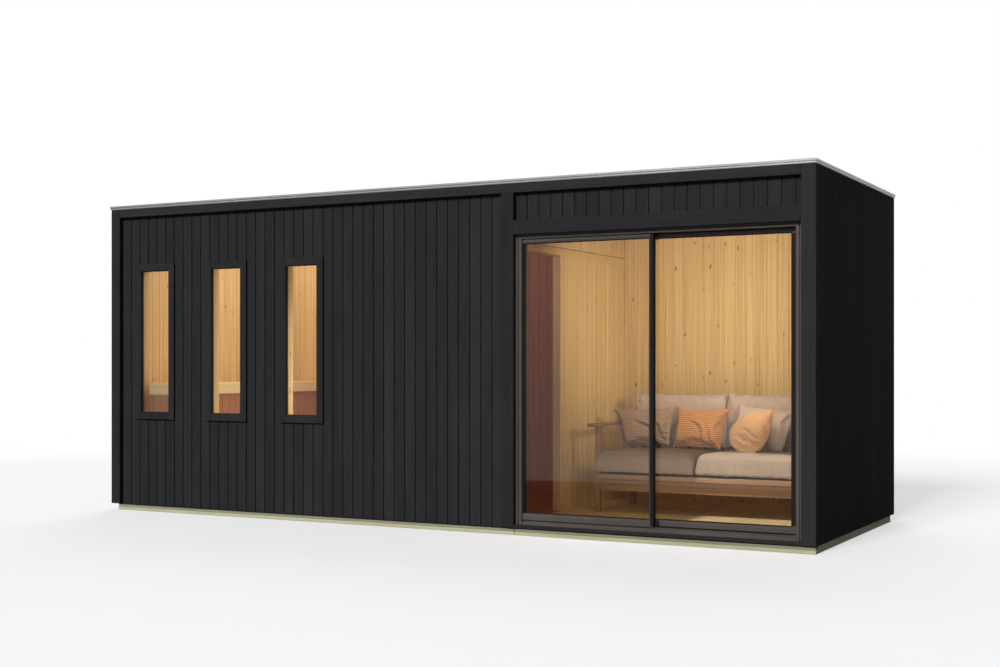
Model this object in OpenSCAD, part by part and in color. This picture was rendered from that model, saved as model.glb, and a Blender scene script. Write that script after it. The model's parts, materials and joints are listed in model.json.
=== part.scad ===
// Garden sauna cabin with a glazed lounge: flat roof, black board cladding, three slim windows,
// a two-leaf sliding glass door, a sauna bench at the left end and a two-seat sofa at the right.
// Origin: centre of the footprint at ground level. +X runs along the cabin, -Y is the front, +Z is up.
// The modules place pieces from the cabin's left end, its front trim face and the ground.

/* [Cabin] */
// Length over the cladding
cabin_l = 5900; // [5700:50:6300]
// Depth from the front trim face to the back cladding
cabin_d = 2200; // [2100:50:2600]
// Height from the ground to the roof edge
cabin_h = 2500; // [2450:10:2700]
// Height of the treated timber base
base_h = 50; // [40:5:60]
// Thickness of the floor on the base
floor_t = 35; // [25:1:45]
// Thickness of the cladding boards
cladding_t = 20; // [15:1:25]
// Thickness of the insulated end and back walls behind the cladding
wall_t = 77; // [60:1:90]
// Thickness of the insulated front wall behind the cladding
front_wall_t = 62; // [50:1:80]
// How far the front cladding lies behind the trim face
trim_proud = 40; // [25:1:60]

/* [Front trims] */
// Width of the left corner trim
left_trim_w = 90; // [70:1:120]
// Width of the trim beside the door
mid_trim_w = 99; // [70:1:120]
// Width of the right corner trim
right_trim_w = 97; // [80:1:120]
// Height of the fascia board under the roof edge
fascia_h = 66; // [50:1:90]
// Height of the trim over the door
head_trim_h = 101; // [80:1:130]

/* [Roof] */
// Height of the folded metal roof edge
edge_h = 30; // [25:1:45]
// How far the metal edge stands proud of the walls
edge_proud = 8; // [5:1:12]
// Width of the metal edge on the roof
edge_w = 95; // [60:5:140]
// Thickness of the roof covering inside the edge
covering_t = 14; // [8:1:18]
// Height of the ceiling above the ground
ceiling_z = 2288; // [2230:1:2300]
// Thickness of the ceiling boards
ceiling_t = 12; // [8:1:15]

/* [Windows] */
// Clear width of a window
window_w = 291; // [240:1:320]
// Clear height of a window
window_h = 1150; // [900:10:1200]
// Height of the sill above the ground
window_sill = 807; // [700:1:900]
// Distance of the first window from the left end
window_first = 300; // [250:1:320]
// Distance from one window to the next
window_pitch = 730; // [650:1:750]
// Width of the casing boards
casing_w = 58; // [45:1:65]
// Thickness of the casing boards
casing_t = 20; // [15:1:30]
// Thickness of the window glass unit
window_glass_t = 8; // [6:1:10]

/* [Sliding door] */
// Height of the underside of the door frame
door_z = 73; // [70:1:80]
// Height of the top of the door frame
door_top = 2110; // [2050:5:2140]
// Visible width of the jambs
jamb_w = 45; // [40:1:50]
// Height of the frame's head
head_h = 30; // [25:1:40]
// Depth of the door frame
frame_d = 92; // [90:1:100]
// Height of the frame's sill
sill_h = 28; // [24:1:30]
// Height of the leaves' bottom rails
bottom_rail_h = 50; // [40:1:70]
// Height of the leaves' top rails
top_rail_h = 35; // [30:1:45]
// Thickness of a leaf
leaf_t = 30; // [26:1:32]
// Thickness of the door glass unit
door_glass_t = 10; // [8:1:16]
// Width of the stiles where the leaves meet
meeting_stile_w = 30; // [26:1:40]
// Running gap round the sliding leaf
leaf_gap = 6; // [5:1:8]

/* [Inside] */
// Distance of the partition's lounge face from the left end
partition_x = 3700; // [3650:1:3700]
// Thickness of the partition
partition_t = 68; // [50:1:80]
// Distance of the far side of the doorway from the front
doorway_y = 870; // [800:5:950]
// Height of the top of the doorway above the ground
doorway_top = 2020; // [1950:5:2040]
// Height of the rail over the doorway
rail_h = 55; // [45:1:70]
// Height of the bench top above the ground
bench_top_z = 1037; // [900:1:1100]
// Distance of the bench's front face from the left end
bench_x = 650; // [600:5:800]
// Height of the bench's front board
bench_board_h = 90; // [70:1:120]
// Width of the bench slats
slat_w = 86; // [60:1:110]

/* [Sofa] */
// Distance of the sofa's middle from the left end
sofa_x = 4755; // [4700:5:4760]
// Distance of the seat cushions' front from the cabin's front
sofa_y = 895; // [850:5:960]
// Width of the sofa over its arms
sofa_w = 1720; // [1600:10:1780]
// Height of the arms above the ground
arm_z = 752; // [700:1:800]
// Height of the cushions' underside above the ground
seat_z = 392; // [360:1:420]
// Thickness of the seat cushions
seat_t = 160; // [120:5:180]
// Height of the back cushions' top above the ground
back_z = 970; // [900:5:1000]

/* [Hidden] */
left_x = -cabin_l / 2;
front_y = -cabin_d / 2;
floor_z = base_h + floor_t;
eaves_z = cabin_h - edge_h;
roof_z = ceiling_z + ceiling_t;
clad_back_y = trim_proud + cladding_t;
inner_front_y = clad_back_y + front_wall_t;
inner_back_y = cabin_d - cladding_t - wall_t;
inner_left_x = cladding_t + wall_t;
inner_right_x = cabin_l - cladding_t - wall_t;
door_x0 = partition_x + mid_trim_w / 2;
door_x1 = inner_right_x;
fascia_z = eaves_z - fascia_h;
head_trim_z = door_top + head_trim_h;
window_rebate = 15;

// the base stands back from the walls, most at the left end and the back
base_inset = [65, 4, 13, 110];
bearer_w = 60;
joist_w = 45;
joist_count = 12;

// sliding door: two tracks, the fixed leaf in front of the sliding one
track_h = 8;
track_w = 6;
leaf_z0 = door_z + sill_h + track_h;
leaf_z1 = door_top - head_h;
glass_z0 = leaf_z0 + bottom_rail_h;
glass_z1 = leaf_z1 - top_rail_h;
fixed_y = trim_proud + 15;
sliding_y = fixed_y + leaf_t + 10;
open_x0 = door_x0 + jamb_w;
open_x1 = door_x1 - jamb_w;
fixed_stile_w = 12;
meet_x = (open_x0 + open_x1) / 2 - 28;

// sofa frame: upright front legs under flat arms that stand out past them, and raked rear legs
leg_w = 42;
leg_x = sofa_w / 2 - 71;
arm_w = 102;
arm_rear_w = 56;
arm_t = 26;
front_leg_y = sofa_y + 60;
rear_leg_y = sofa_y + 705;
seat_rail_t = 28;
seat_rail_h = 36;
slat_t = 15;
front_board_h = 142;
back_board_h = 110;
cushion_gap = 8;
seat_half = leg_x - leg_w / 2 - 1;
seat_depth = 670;
backrest_y = sofa_y + 665;
backrest_half = seat_half - 4;
backrest_t = 165;
backrest_lean = 12;

// corners of the throw pillows
tip = 10;
tip_t = 12;

black = [0.16, 0.16, 0.17];
pine = [0.80, 0.62, 0.40];
dark_wood = [0.42, 0.26, 0.20];
bronze = [0.33, 0.28, 0.25];
oak = [0.52, 0.42, 0.33];
taupe = [0.55, 0.46, 0.38];
pale_glass = [0.75, 0.82, 0.85, 0.35];

// A block between two corners, placed from the cabin's left end, front and ground
module block(from, to) {
    translate([left_x + from[0], front_y + from[1], from[2]])
        cube([to[0] - from[0], to[1] - from[1], to[2] - from[2]]);
}

// An upright frame: an outer block less the same block drawn in by its border
module upright_frame(from, to, side, bottom, top) {
    difference() {
        block(from, to);
        block([from[0] + side, from[1] - 1, from[2] + bottom], [to[0] - side, to[1] + 1, to[2] - top]);
    }
}

function window_x(i) = window_first + (i - 1) * window_pitch;

// The three window holes through a front layer, with the rebate that holds the glass
module window_holes(y0, y1) {
    for (i = [1:3])
        block([window_x(i) - window_rebate, y0 - 1, window_sill - window_rebate],
            [window_x(i) + window_w + window_rebate, y1 + 1, window_sill + window_h + window_rebate]);
}

module base_frame() {
    x0 = base_inset[0];
    x1 = cabin_l - base_inset[1];
    y0 = base_inset[2];
    y1 = cabin_d - base_inset[3];
    step = (x1 - x0 - joist_w) / (joist_count - 1);
    color([0.60, 0.57, 0.44]) union() {
        block([x0, y0, 0], [x1, y0 + bearer_w, base_h]);
        block([x0, y1 - bearer_w, 0], [x1, y1, base_h]);
        for (i = [0:joist_count - 1])
            block([x0 + i * step, y0 + 1, 0], [x0 + i * step + joist_w, y1 - 1, base_h]);
    }
}

module floor_deck() {
    color(pine) difference() {
        block([cladding_t, clad_back_y, base_h], [cabin_l - cladding_t, cabin_d - cladding_t, floor_z]);
        block([door_x0, clad_back_y - 1, base_h - 1], [door_x1, trim_proud + frame_d, floor_z + 1]);
    }
}

module front_wall_left() {
    color(pine) difference() {
        block([cladding_t, clad_back_y, floor_z], [door_x0, inner_front_y, roof_z]);
        window_holes(clad_back_y, inner_front_y);
    }
}

module front_wall_over_door() {
    color(pine) block([door_x0, clad_back_y, door_top], [door_x1, inner_front_y, roof_z]);
}

module left_end_wall() {
    color(pine) block([cladding_t, inner_front_y, floor_z], [inner_left_x, inner_back_y, roof_z]);
}

module right_end_wall() {
    color(pine) block([inner_right_x, clad_back_y, floor_z], [cabin_l - cladding_t, inner_back_y, roof_z]);
}

module back_wall() {
    color(pine) block([cladding_t, inner_back_y, floor_z],
        [cabin_l - cladding_t, cabin_d - cladding_t, roof_z]);
}

module front_cladding_left() {
    color(black) difference() {
        block([left_trim_w, trim_proud, base_h], [door_x0 - mid_trim_w, clad_back_y, fascia_z]);
        window_holes(trim_proud, clad_back_y);
    }
}

module front_cladding_over_door() {
    color(black) block([door_x0, trim_proud, head_trim_z], [door_x1, clad_back_y, fascia_z]);
}

module left_end_cladding() {
    color(black) block([0, clad_back_y, base_h], [cladding_t, cabin_d, eaves_z]);
}

module right_end_cladding() {
    color(black) block([cabin_l - cladding_t, clad_back_y, base_h], [cabin_l, cabin_d, eaves_z]);
}

module back_cladding() {
    color(black) block([cladding_t, cabin_d - cladding_t, base_h], [cabin_l - cladding_t, cabin_d, eaves_z]);
}

module corner_trim_left() {
    color(black) block([0, 0, base_h], [left_trim_w, clad_back_y, eaves_z]);
}

module corner_trim_right() {
    color(black) block([cabin_l - right_trim_w, 0, base_h], [cabin_l, clad_back_y, eaves_z]);
}

module mid_trim() {
    color(black) block([door_x0 - mid_trim_w, 0, base_h], [door_x0, clad_back_y, fascia_z]);
}

module fascia_board() {
    color(black) block([left_trim_w, 0, fascia_z], [cabin_l - right_trim_w, clad_back_y, eaves_z]);
}

module door_head_trim() {
    color(black) block([door_x0, 0, door_top], [door_x1, clad_back_y, head_trim_z]);
}

module door_sill_board() {
    color(black) block([door_x0, 4, base_h], [door_x1, trim_proud + frame_d, door_z]);
}

// Black casing round a window, with the bead that runs in to the glass
module window_casing(i) {
    x0 = window_x(i);
    x1 = x0 + window_w;
    z1 = window_sill + window_h;
    color(black) difference() {
        union() {
            block([x0 - casing_w, trim_proud - casing_t, window_sill - casing_w],
                [x1 + casing_w, trim_proud, z1 + casing_w]);
            block([x0 - window_rebate, trim_proud - 1, window_sill - window_rebate],
                [x1 + window_rebate, trim_proud + 8, z1 + window_rebate]);
        }
        block([x0, 0, window_sill], [x1, trim_proud + 9, z1]);
    }
}

// Pine boards that line the window opening behind the glass
module window_reveal(i) {
    x0 = window_x(i);
    glass_back = trim_proud + 8 + window_glass_t;
    color(pine) upright_frame(
        [x0 - window_rebate, glass_back, window_sill - window_rebate],
        [x0 + window_w + window_rebate, inner_front_y, window_sill + window_h + window_rebate],
        window_rebate, window_rebate, window_rebate);
}

module window_glass(i) {
    x0 = window_x(i);
    color(pale_glass) block(
        [x0 - window_rebate, trim_proud + 8, window_sill - window_rebate],
        [x0 + window_w + window_rebate, trim_proud + 8 + window_glass_t,
            window_sill + window_h + window_rebate]);
}

module roof_deck() {
    color(pine) block([cladding_t, clad_back_y, roof_z],
        [cabin_l - cladding_t, cabin_d - cladding_t, eaves_z]);
}

module roof_covering() {
    inset = edge_w - edge_proud;
    color([0.24, 0.25, 0.26]) block([inset, inset, eaves_z],
        [cabin_l - inset, cabin_d - inset, eaves_z + covering_t]);
}

module roof_edge_trim() {
    inset = edge_w - edge_proud;
    color([0.70, 0.70, 0.72]) difference() {
        block([-edge_proud, -edge_proud, eaves_z],
            [cabin_l + edge_proud, cabin_d + edge_proud, cabin_h]);
        block([inset, inset, eaves_z - 1], [cabin_l - inset, cabin_d - inset, cabin_h + 1]);
    }
}

module ceiling_boards() {
    color(pine) block([inner_left_x, inner_front_y, ceiling_z], [inner_right_x, inner_back_y, roof_z]);
}

module partition_wall() {
    color(pine) block([partition_x - partition_t, doorway_y, floor_z],
        [partition_x, inner_back_y, doorway_top]);
}

module partition_rail() {
    color(pine) block([partition_x - partition_t - 3, inner_front_y, doorway_top],
        [partition_x + 3, inner_back_y, doorway_top + rail_h]);
}

module partition_top_panel() {
    color(pine) block([partition_x - partition_t, inner_front_y, doorway_top + rail_h],
        [partition_x, inner_back_y, ceiling_z]);
}

// Dark heat-treated boards on the back wall between the sauna end and the partition
module dark_lining() {
    color(dark_wood) block([2000, inner_back_y - 12, floor_z],
        [partition_x - partition_t - 3, inner_back_y, ceiling_z]);
}

module door_frame() {
    y0 = trim_proud;
    y1 = trim_proud + frame_d;
    color(bronze) union() {
        upright_frame([door_x0, y0, door_z], [door_x1, y1, door_top], jamb_w, sill_h, head_h);
        for (y = [fixed_y, sliding_y])
            block([open_x0 - 1, y + leaf_t / 2 - track_w / 2, door_z + sill_h - 1],
                [open_x1 + 1, y + leaf_t / 2 + track_w / 2, door_z + sill_h + track_h - leaf_gap + 3]);
    }
}

// One door leaf: stiles of different widths and top and bottom rails
module leaf_frame(x0, x1, y0, z0, z1, stile_left, stile_right) {
    color(bronze) difference() {
        block([x0, y0, z0], [x1, y0 + leaf_t, z1]);
        block([x0 + stile_left, y0 - 1, glass_z0], [x1 - stile_right, y0 + leaf_t + 1, glass_z1]);
    }
}

module fixed_leaf_frame() {
    leaf_frame(open_x0, meet_x + meeting_stile_w, fixed_y, leaf_z0, leaf_z1,
        fixed_stile_w, meeting_stile_w);
}

module fixed_leaf_glass() {
    y0 = fixed_y + (leaf_t - door_glass_t) / 2;
    color(pale_glass) block([open_x0 + fixed_stile_w, y0, glass_z0], [meet_x, y0 + door_glass_t, glass_z1]);
}

module sliding_leaf_frame() {
    leaf_frame(meet_x - 8, open_x1 - leaf_gap, sliding_y, leaf_z0 + 3, leaf_z1 - leaf_gap,
        meeting_stile_w, jamb_w - leaf_gap);
}

module sliding_leaf_glass() {
    y0 = sliding_y + (leaf_t - door_glass_t) / 2;
    color(pale_glass) block([meet_x - 8 + meeting_stile_w, y0, glass_z0],
        [open_x1 - jamb_w, y0 + door_glass_t, glass_z1]);
}

// Slats along the left end wall, joined by bearers under them
module bench_top() {
    span = bench_x - 28 - inner_left_x;
    count = floor(span / (slat_w + 8));
    step = span / count;
    color([0.86, 0.72, 0.52]) union() {
        for (i = [0:count - 1])
            block([inner_left_x + i * step + 4, inner_front_y + 28, bench_top_z - 26],
                [inner_left_x + (i + 1) * step - 4, inner_back_y - 28, bench_top_z]);
        for (y = [inner_front_y + 300, cabin_d / 2, inner_back_y - 340])
            block([inner_left_x + 4, y, bench_top_z - 66],
                [bench_x - 32, y + 40, bench_top_z - 25]);
    }
}

// Boards round the bench top: the front board and one at each end
module bench_frame() {
    z0 = bench_top_z - bench_board_h;
    color([0.90, 0.78, 0.58]) difference() {
        block([inner_left_x, inner_front_y, z0], [bench_x, inner_back_y, bench_top_z]);
        block([inner_left_x - 1, inner_front_y + 28, z0 - 1],
            [bench_x - 28, inner_back_y - 28, bench_top_z + 1]);
    }
}

// Upright dark boards that close the bench below its boards
module bench_skirt() {
    z1 = bench_top_z - bench_board_h;
    color(dark_wood) union() {
        block([bench_x - 46, inner_front_y, floor_z], [bench_x - 28, inner_back_y, z1]);
        block([inner_left_x, inner_front_y, floor_z], [bench_x - 27, inner_front_y + 18, z1]);
    }
}

// A block placed from the sofa's middle, the cabin's front and the ground
module sofa_block(from, to) {
    block([sofa_x + from[0], from[1], from[2]], [sofa_x + to[0], to[1], to[2]]);
}

module sofa_seat_frame() {
    x0 = leg_x - leg_w / 2;
    back_y = rear_leg_y + seat_rail_t;
    rail_z = seat_z - slat_t - seat_rail_h;
    color(oak) union() {
        sofa_block([-x0, sofa_y + 6, rail_z], [x0, front_leg_y + seat_rail_t, seat_z - slat_t]);
        sofa_block([-x0, front_leg_y + 6, seat_z - front_board_h],
            [x0, front_leg_y + seat_rail_t, rail_z + 1]);
        sofa_block([-x0, rear_leg_y, seat_z - back_board_h], [x0, back_y, seat_z - slat_t]);
        sofa_block([-x0, front_leg_y + 1, seat_z - slat_t - 1], [x0, back_y - 1, seat_z]);
    }
}

// Side of the sofa: upright front leg, bent rear leg and a flat arm that narrows towards the back
module sofa_side(s) {
    inner = s * (leg_x - leg_w / 2);
    outer = s * (leg_x + leg_w / 2);
    arm_inner = s * (leg_x - 31);
    arm_outer = s * (leg_x - 31 + arm_w);
    rear_inner = s * (leg_x + 9);
    rear_outer = s * (leg_x + 9 + arm_rear_w);
    arm_y0 = sofa_y + 25;
    wide_to = arm_y0 + 70;
    slim_from = arm_y0 + 270;
    arm_y1 = rear_leg_y + 140;
    color(oak) union() {
        sofa_block([min(inner, outer), front_leg_y, floor_z],
            [max(inner, outer), front_leg_y + leg_w, arm_z - 1]);
        translate([left_x + sofa_x + min(inner, outer), front_y, 0]) rotate([90, 0, 90])
            linear_extrude(leg_w) polygon([
                [rear_leg_y + 45, floor_z], [rear_leg_y + 80, floor_z], [rear_leg_y + leg_w, seat_z],
                [rear_leg_y + 125, arm_z - 1], [rear_leg_y + 90, arm_z - 1], [rear_leg_y, seat_z]]);
        translate([left_x + sofa_x, front_y, arm_z - arm_t]) linear_extrude(arm_t) polygon([
            [arm_inner, arm_y0], [arm_outer, arm_y0], [arm_outer, wide_to],
            [rear_outer, slim_from], [rear_outer, arm_y1], [rear_inner, arm_y1],
            [rear_inner, slim_from], [arm_inner, wide_to]]);
    }
}

// A soft block with rounded edges, resting with its underside on z = 0
module cushion(size, r) {
    hull()
        for (x = [r, size[0] - r], y = [r, size[1] - r], z = [r, size[2] - r])
            translate([x, y, z]) sphere(r = r, $fn = 20);
}

module seat_cushion(s) {
    x0 = (s < 0) ? -seat_half : cushion_gap / 2;
    color(taupe) translate([left_x + sofa_x + x0, front_y + sofa_y, seat_z + 0.5])
        cushion([seat_half - cushion_gap / 2, seat_depth, seat_t], 45);
}

// A back cushion stands flat on the seat and slopes back as it rises
module back_cushion(s) {
    x0 = (s < 0) ? -backrest_half : cushion_gap / 2;
    slope = tan(backrest_lean);
    color(taupe) translate([left_x + sofa_x + x0, front_y + backrest_y, seat_z + seat_t + 3])
        multmatrix([[1, 0, 0, 0], [0, 1, slope, 0], [0, 0, 1, 0]])
            cushion([backrest_half - cushion_gap / 2, backrest_t, back_z - seat_z - seat_t - 3], 45);
}

// A throw pillow: a fat middle drawn out to four thin corners, lower edge on z = 0 before it is
// rolled; spread sets its upper corners further apart than its lower ones
module pillow(w, h, t, roll, spread = 0) {
    translate([0, 0, h / 2]) rotate([90, roll, 0]) hull() {
        for (x = [-1, 1], z = [-1, 1])
            translate([x * (w / 2 - tip) * (1 + z * spread), z * (h / 2 - tip), 0])
                cylinder(r = tip, h = tip_t, center = true, $fn = 8);
        scale([w * 0.42, h * 0.42, 1]) cylinder(r = 1, h = t * 0.7, center = true, $fn = 24);
        scale([w * 0.30, h * 0.30, 1]) cylinder(r = 1, h = t, center = true, $fn = 24);
    }
}

// A throw pillow with three corners tucked under: a round body, longer one way, drawn out to a
// corner at that end, with its middle at z = 0
module tucked_pillow(half_l, half_w, t, tip_out, roll) {
    rotate([90, roll, 0]) hull() {
        translate([half_l + tip_out - tip, 0, 0]) cylinder(r = tip, h = tip_t, center = true, $fn = 8);
        for (share = [[1, 0.12], [0.84, 0.6], [0.6, 1]])
            scale([half_l * share[0], half_w * share[0], 1])
                cylinder(r = 1, h = t * share[1], center = true, $fn = 24);
    }
}

// Puts a pillow on the seat: place from the sofa's middle and the seat's front, turn about upright,
// lean backwards, and height above the seat
module on_seat(x, y, turn, lean, lift) {
    translate([left_x + sofa_x + x, front_y + sofa_y + y, seat_z + seat_t + lift])
        rotate([0, 0, turn]) rotate([-lean, 0, 0]) children();
}

module pillow_taupe_ribbed() {
    color([0.48, 0.40, 0.33]) on_seat(x = -560, y = 460, turn = 9, lean = 11, lift = 22)
        pillow(w = 440, h = 315, t = 130, roll = -4, spread = 0.11);
}

module pillow_orange() {
    color([0.80, 0.50, 0.27]) on_seat(x = -160, y = 515, turn = -4, lean = 19, lift = 18)
        pillow(w = 438, h = 325, t = 130, roll = 1, spread = 0.04);
}

module pillow_peach() {
    color([0.84, 0.60, 0.42]) on_seat(x = 349, y = 238, turn = -12, lean = 26, lift = 155)
        tucked_pillow(half_l = 165, half_w = 155, t = 120, tip_out = 57, roll = -53);
}

module pillow_taupe_plain() {
    color([0.56, 0.48, 0.40]) on_seat(x = 342, y = 430, turn = -9, lean = 23, lift = 29)
        pillow(w = 460, h = 335, t = 120, roll = 6);
}

base_frame();
floor_deck();
front_wall_left();
front_wall_over_door();
left_end_wall();
right_end_wall();
back_wall();
front_cladding_left();
front_cladding_over_door();
left_end_cladding();
right_end_cladding();
back_cladding();
corner_trim_left();
corner_trim_right();
mid_trim();
fascia_board();
door_head_trim();
door_sill_board();
for (i = [1:3])
    window_casing(i);
for (i = [1:3])
    window_reveal(i);
for (i = [1:3])
    window_glass(i);
roof_deck();
roof_covering();
roof_edge_trim();
ceiling_boards();
partition_wall();
partition_rail();
partition_top_panel();
dark_lining();
door_frame();
fixed_leaf_frame();
fixed_leaf_glass();
sliding_leaf_frame();
sliding_leaf_glass();
bench_top();
bench_frame();
bench_skirt();
sofa_seat_frame();
sofa_side(-1);  // sofa_left_side
sofa_side(1);  // sofa_right_side
seat_cushion(-1);  // seat_cushion_left
seat_cushion(1);  // seat_cushion_right
back_cushion(-1);  // back_cushion_left
back_cushion(1);  // back_cushion_right
pillow_taupe_ribbed();
pillow_orange();
pillow_peach();
pillow_taupe_plain();
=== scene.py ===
"""A black timber sauna cabin with a glazed lounge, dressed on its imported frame."""

import itertools
import json
import math
import random

import bpy
import numpy as np
from mathutils import Matrix, Vector

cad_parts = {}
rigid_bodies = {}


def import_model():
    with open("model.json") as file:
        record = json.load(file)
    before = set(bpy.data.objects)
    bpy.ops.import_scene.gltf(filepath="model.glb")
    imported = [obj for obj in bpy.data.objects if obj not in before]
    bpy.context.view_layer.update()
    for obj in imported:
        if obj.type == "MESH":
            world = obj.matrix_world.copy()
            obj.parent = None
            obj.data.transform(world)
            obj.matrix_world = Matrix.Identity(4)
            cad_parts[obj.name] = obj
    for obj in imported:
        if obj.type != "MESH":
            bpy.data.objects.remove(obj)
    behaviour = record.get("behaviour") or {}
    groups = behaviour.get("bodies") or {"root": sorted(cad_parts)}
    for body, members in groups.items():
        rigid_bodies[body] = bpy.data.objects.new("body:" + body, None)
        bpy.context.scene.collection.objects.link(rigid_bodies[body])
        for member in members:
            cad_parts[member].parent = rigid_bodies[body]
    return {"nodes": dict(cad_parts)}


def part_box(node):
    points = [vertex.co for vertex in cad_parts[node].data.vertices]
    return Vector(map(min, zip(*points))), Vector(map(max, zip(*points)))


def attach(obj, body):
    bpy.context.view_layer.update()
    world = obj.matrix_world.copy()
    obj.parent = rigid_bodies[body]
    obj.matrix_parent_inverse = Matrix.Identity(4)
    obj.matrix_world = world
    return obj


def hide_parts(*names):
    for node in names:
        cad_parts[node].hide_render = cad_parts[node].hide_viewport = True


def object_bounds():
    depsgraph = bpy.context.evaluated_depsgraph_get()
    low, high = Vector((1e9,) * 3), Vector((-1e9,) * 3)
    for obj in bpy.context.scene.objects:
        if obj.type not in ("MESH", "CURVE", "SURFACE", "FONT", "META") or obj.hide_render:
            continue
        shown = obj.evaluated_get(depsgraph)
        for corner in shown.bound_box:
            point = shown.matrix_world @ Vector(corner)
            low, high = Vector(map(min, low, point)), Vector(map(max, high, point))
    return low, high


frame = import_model()
CAD_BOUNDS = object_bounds()

# ---------------------------------------------------------------- sizes, in metres

BOARD_PITCH = 0.0913
BOARD_GROOVE = 0.0065
BOARD_EDGE = 0.0022
LINING_PITCH = 0.087
PARTITION_PITCH = 0.0881
DARK_PITCH = 0.0905
LINING_T = 0.004
PLANK_W = 0.175
SOFA_LEAN = math.radians(12)
RIB_HEIGHT = 0.0042

# ---------------------------------------------------------------- mesh making

AXES = {"x": (1, 2, 0), "y": (2, 0, 1), "z": (0, 1, 2)}


def chamfered(u0, v0, u1, v1, c):
    """The corners of a rectangle with cut corners, anticlockwise."""
    return [
        (u0 + c, v0), (u1 - c, v0), (u1, v0 + c), (u1, v1 - c),
        (u1 - c, v1), (u0 + c, v1), (u0, v1 - c), (u0, v0 + c),
    ]


def rounded(u0, v0, u1, v1, r):
    """The outline of a rectangle with round corners, anticlockwise."""
    steps = 4
    points = []
    corners = [(u1 - r, v0 + r, -90), (u1 - r, v1 - r, 0), (u0 + r, v1 - r, 90), (u0 + r, v0 + r, 180)]
    for cu, cv, start in corners:
        for i in range(steps + 1):
            angle = math.radians(start + 90 * i / steps)
            points.append((cu + r * math.cos(angle), cv + r * math.sin(angle)))
    return points


def spot(axis, u, v, along):
    """A point from two coordinates across an axis and its place along it."""
    p = [0.0, 0.0, 0.0]
    for i, value in zip(AXES[axis], (u, v, along)):
        p[i] = value
    return p


def section(outline, axis, along):
    return [spot(axis, u, v, along) for u, v in outline]


class Maker:
    """Collects solids into one mesh, each with its own place in the grain and its own tone."""

    def __init__(self, seed):
        self.points = []
        self.faces = []
        self.grain = []
        self.tone = []
        self.random = random.Random(seed)

    def cut(self):
        """A place in the grain for one board: an offset in three directions and a tone."""
        offset = [self.random.uniform(-40, 40) for _ in range(3)]
        return offset, self.random.random()

    def skin(self, rings, axis, cut=None):
        """A closed solid through rings of points, which run anticlockwise seen from the axis's end."""
        offset, tone = cut or self.cut()
        first = len(self.points)
        n = len(rings[0])
        last = first + (len(rings) - 1) * n
        for p in (p for ring in rings for p in ring):
            self.points.append(tuple(p))
            self.grain.append(tuple(p[i] + add for i, add in zip(AXES[axis], offset)))
            self.tone.append(tone)
        for low in range(first, last, n):
            for i in range(n):
                j = (i + 1) % n
                self.faces.append((low + i, low + j, low + n + j, low + n + i))
        self.faces.append(tuple(range(first + n - 1, first - 1, -1)))
        self.faces.append(tuple(range(last, last + n)))

    def loft(self, axis, *outlines):
        """A solid through outlines, each an (outline, place along the axis)."""
        self.skin([section(outline, axis, along) for outline, along in outlines], axis)

    def ended(self, axis, body, end, start, stop, k):
        self.loft(axis, (end, start), (body, start + k), (body, stop - k), (end, stop))

    def board(self, lo, hi, axis, c=0.002):
        """A straight board between two corners, with its grain along the axis and its edges cut."""
        a, b, along = AXES[axis]
        c = min(c, 0.3 * min(hi[i] - lo[i] for i in range(3)))
        k = c * 0.7
        body = chamfered(lo[a], lo[b], hi[a], hi[b], c)
        end = chamfered(lo[a] + k, lo[b] + k, hi[a] - k, hi[b] - k, c * 0.6)
        self.ended(axis, body, end, lo[along], hi[along], k)

    def bar(self, lo, hi, axis, r):
        """A straight bar with round edges."""
        a, b, along = AXES[axis]
        k = r * 0.45
        body = rounded(lo[a], lo[b], hi[a], hi[b], r)
        end = rounded(lo[a] + k, lo[b] + k, hi[a] - k, hi[b] - k, r * 0.6)
        self.ended(axis, body, end, lo[along], hi[along], k)

    def between(self, start, end, axis, cut=None):
        """A solid between two rings, whichever way round they run."""
        if ring_area(start, axis) < 0:
            start, end = start[::-1], end[::-1]
        self.skin([start, end], axis, cut)

    def sweep(self, outline, axis, start, stop, cut=None):
        self.between(section(outline, axis, start), section(outline, axis, stop), axis, cut)

    def frame(self, plane, lo, hi, profile, widths):
        """A mitred frame in the plane across an axis. The profile runs (share of the way in, depth),
        and widths are of its low and high sides, first across u and then across v."""
        a, b, _ = AXES[plane]
        wu0, wu1, wv0, wv1 = widths

        def corner(low_u, low_v):
            ring = []
            for share, depth in profile:
                u = lo[a] + share * wu0 if low_u else hi[a] - share * wu1
                v = lo[b] + share * wv0 if low_v else hi[b] - share * wv1
                ring.append(spot(plane, u, v, depth))
            return ring

        for low in (True, False):
            self.between(corner(True, low), corner(False, low), "xyz"[a])
        for low in (True, False):
            self.between(corner(low, True), corner(low, False), "xyz"[b])


def ring_area(ring, axis):
    a, b, _ = AXES[axis]
    return sum(p[a] * q[b] - q[a] * p[b] for p, q in zip(ring, ring[1:] + ring[:1]))


def add_values(mesh, name, kind, values, field):
    attribute = mesh.attributes.new(name, kind, "POINT")
    attribute.data.foreach_set(field, np.array(values, np.float32).ravel())


def link_object(name, mesh, material, body, replaces):
    made = bpy.data.objects.new(name, mesh)
    bpy.context.scene.collection.objects.link(made)
    mesh.materials.append(material)
    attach(made, body)
    if replaces:
        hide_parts(*replaces)
    return made


def build(name, maker, material, replaces=(), body="cabin", smooth=None):
    """Turns a Maker's solids into one piece that rides on a body."""
    mesh = bpy.data.meshes.new(name)
    mesh.from_pydata(maker.points, [], maker.faces)
    add_values(mesh, "grain", "FLOAT_VECTOR", maker.grain, "vector")
    add_values(mesh, "tone", "FLOAT", maker.tone, "value")
    if smooth is not None:
        mesh.shade_smooth()
        mesh.set_sharp_from_angle(angle=math.radians(smooth))
    mesh.update()
    return link_object(name, mesh, material, body, replaces)


# ---------------------------------------------------------------- materials

WHITE = (1.0, 1.0, 1.0, 1.0)


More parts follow.
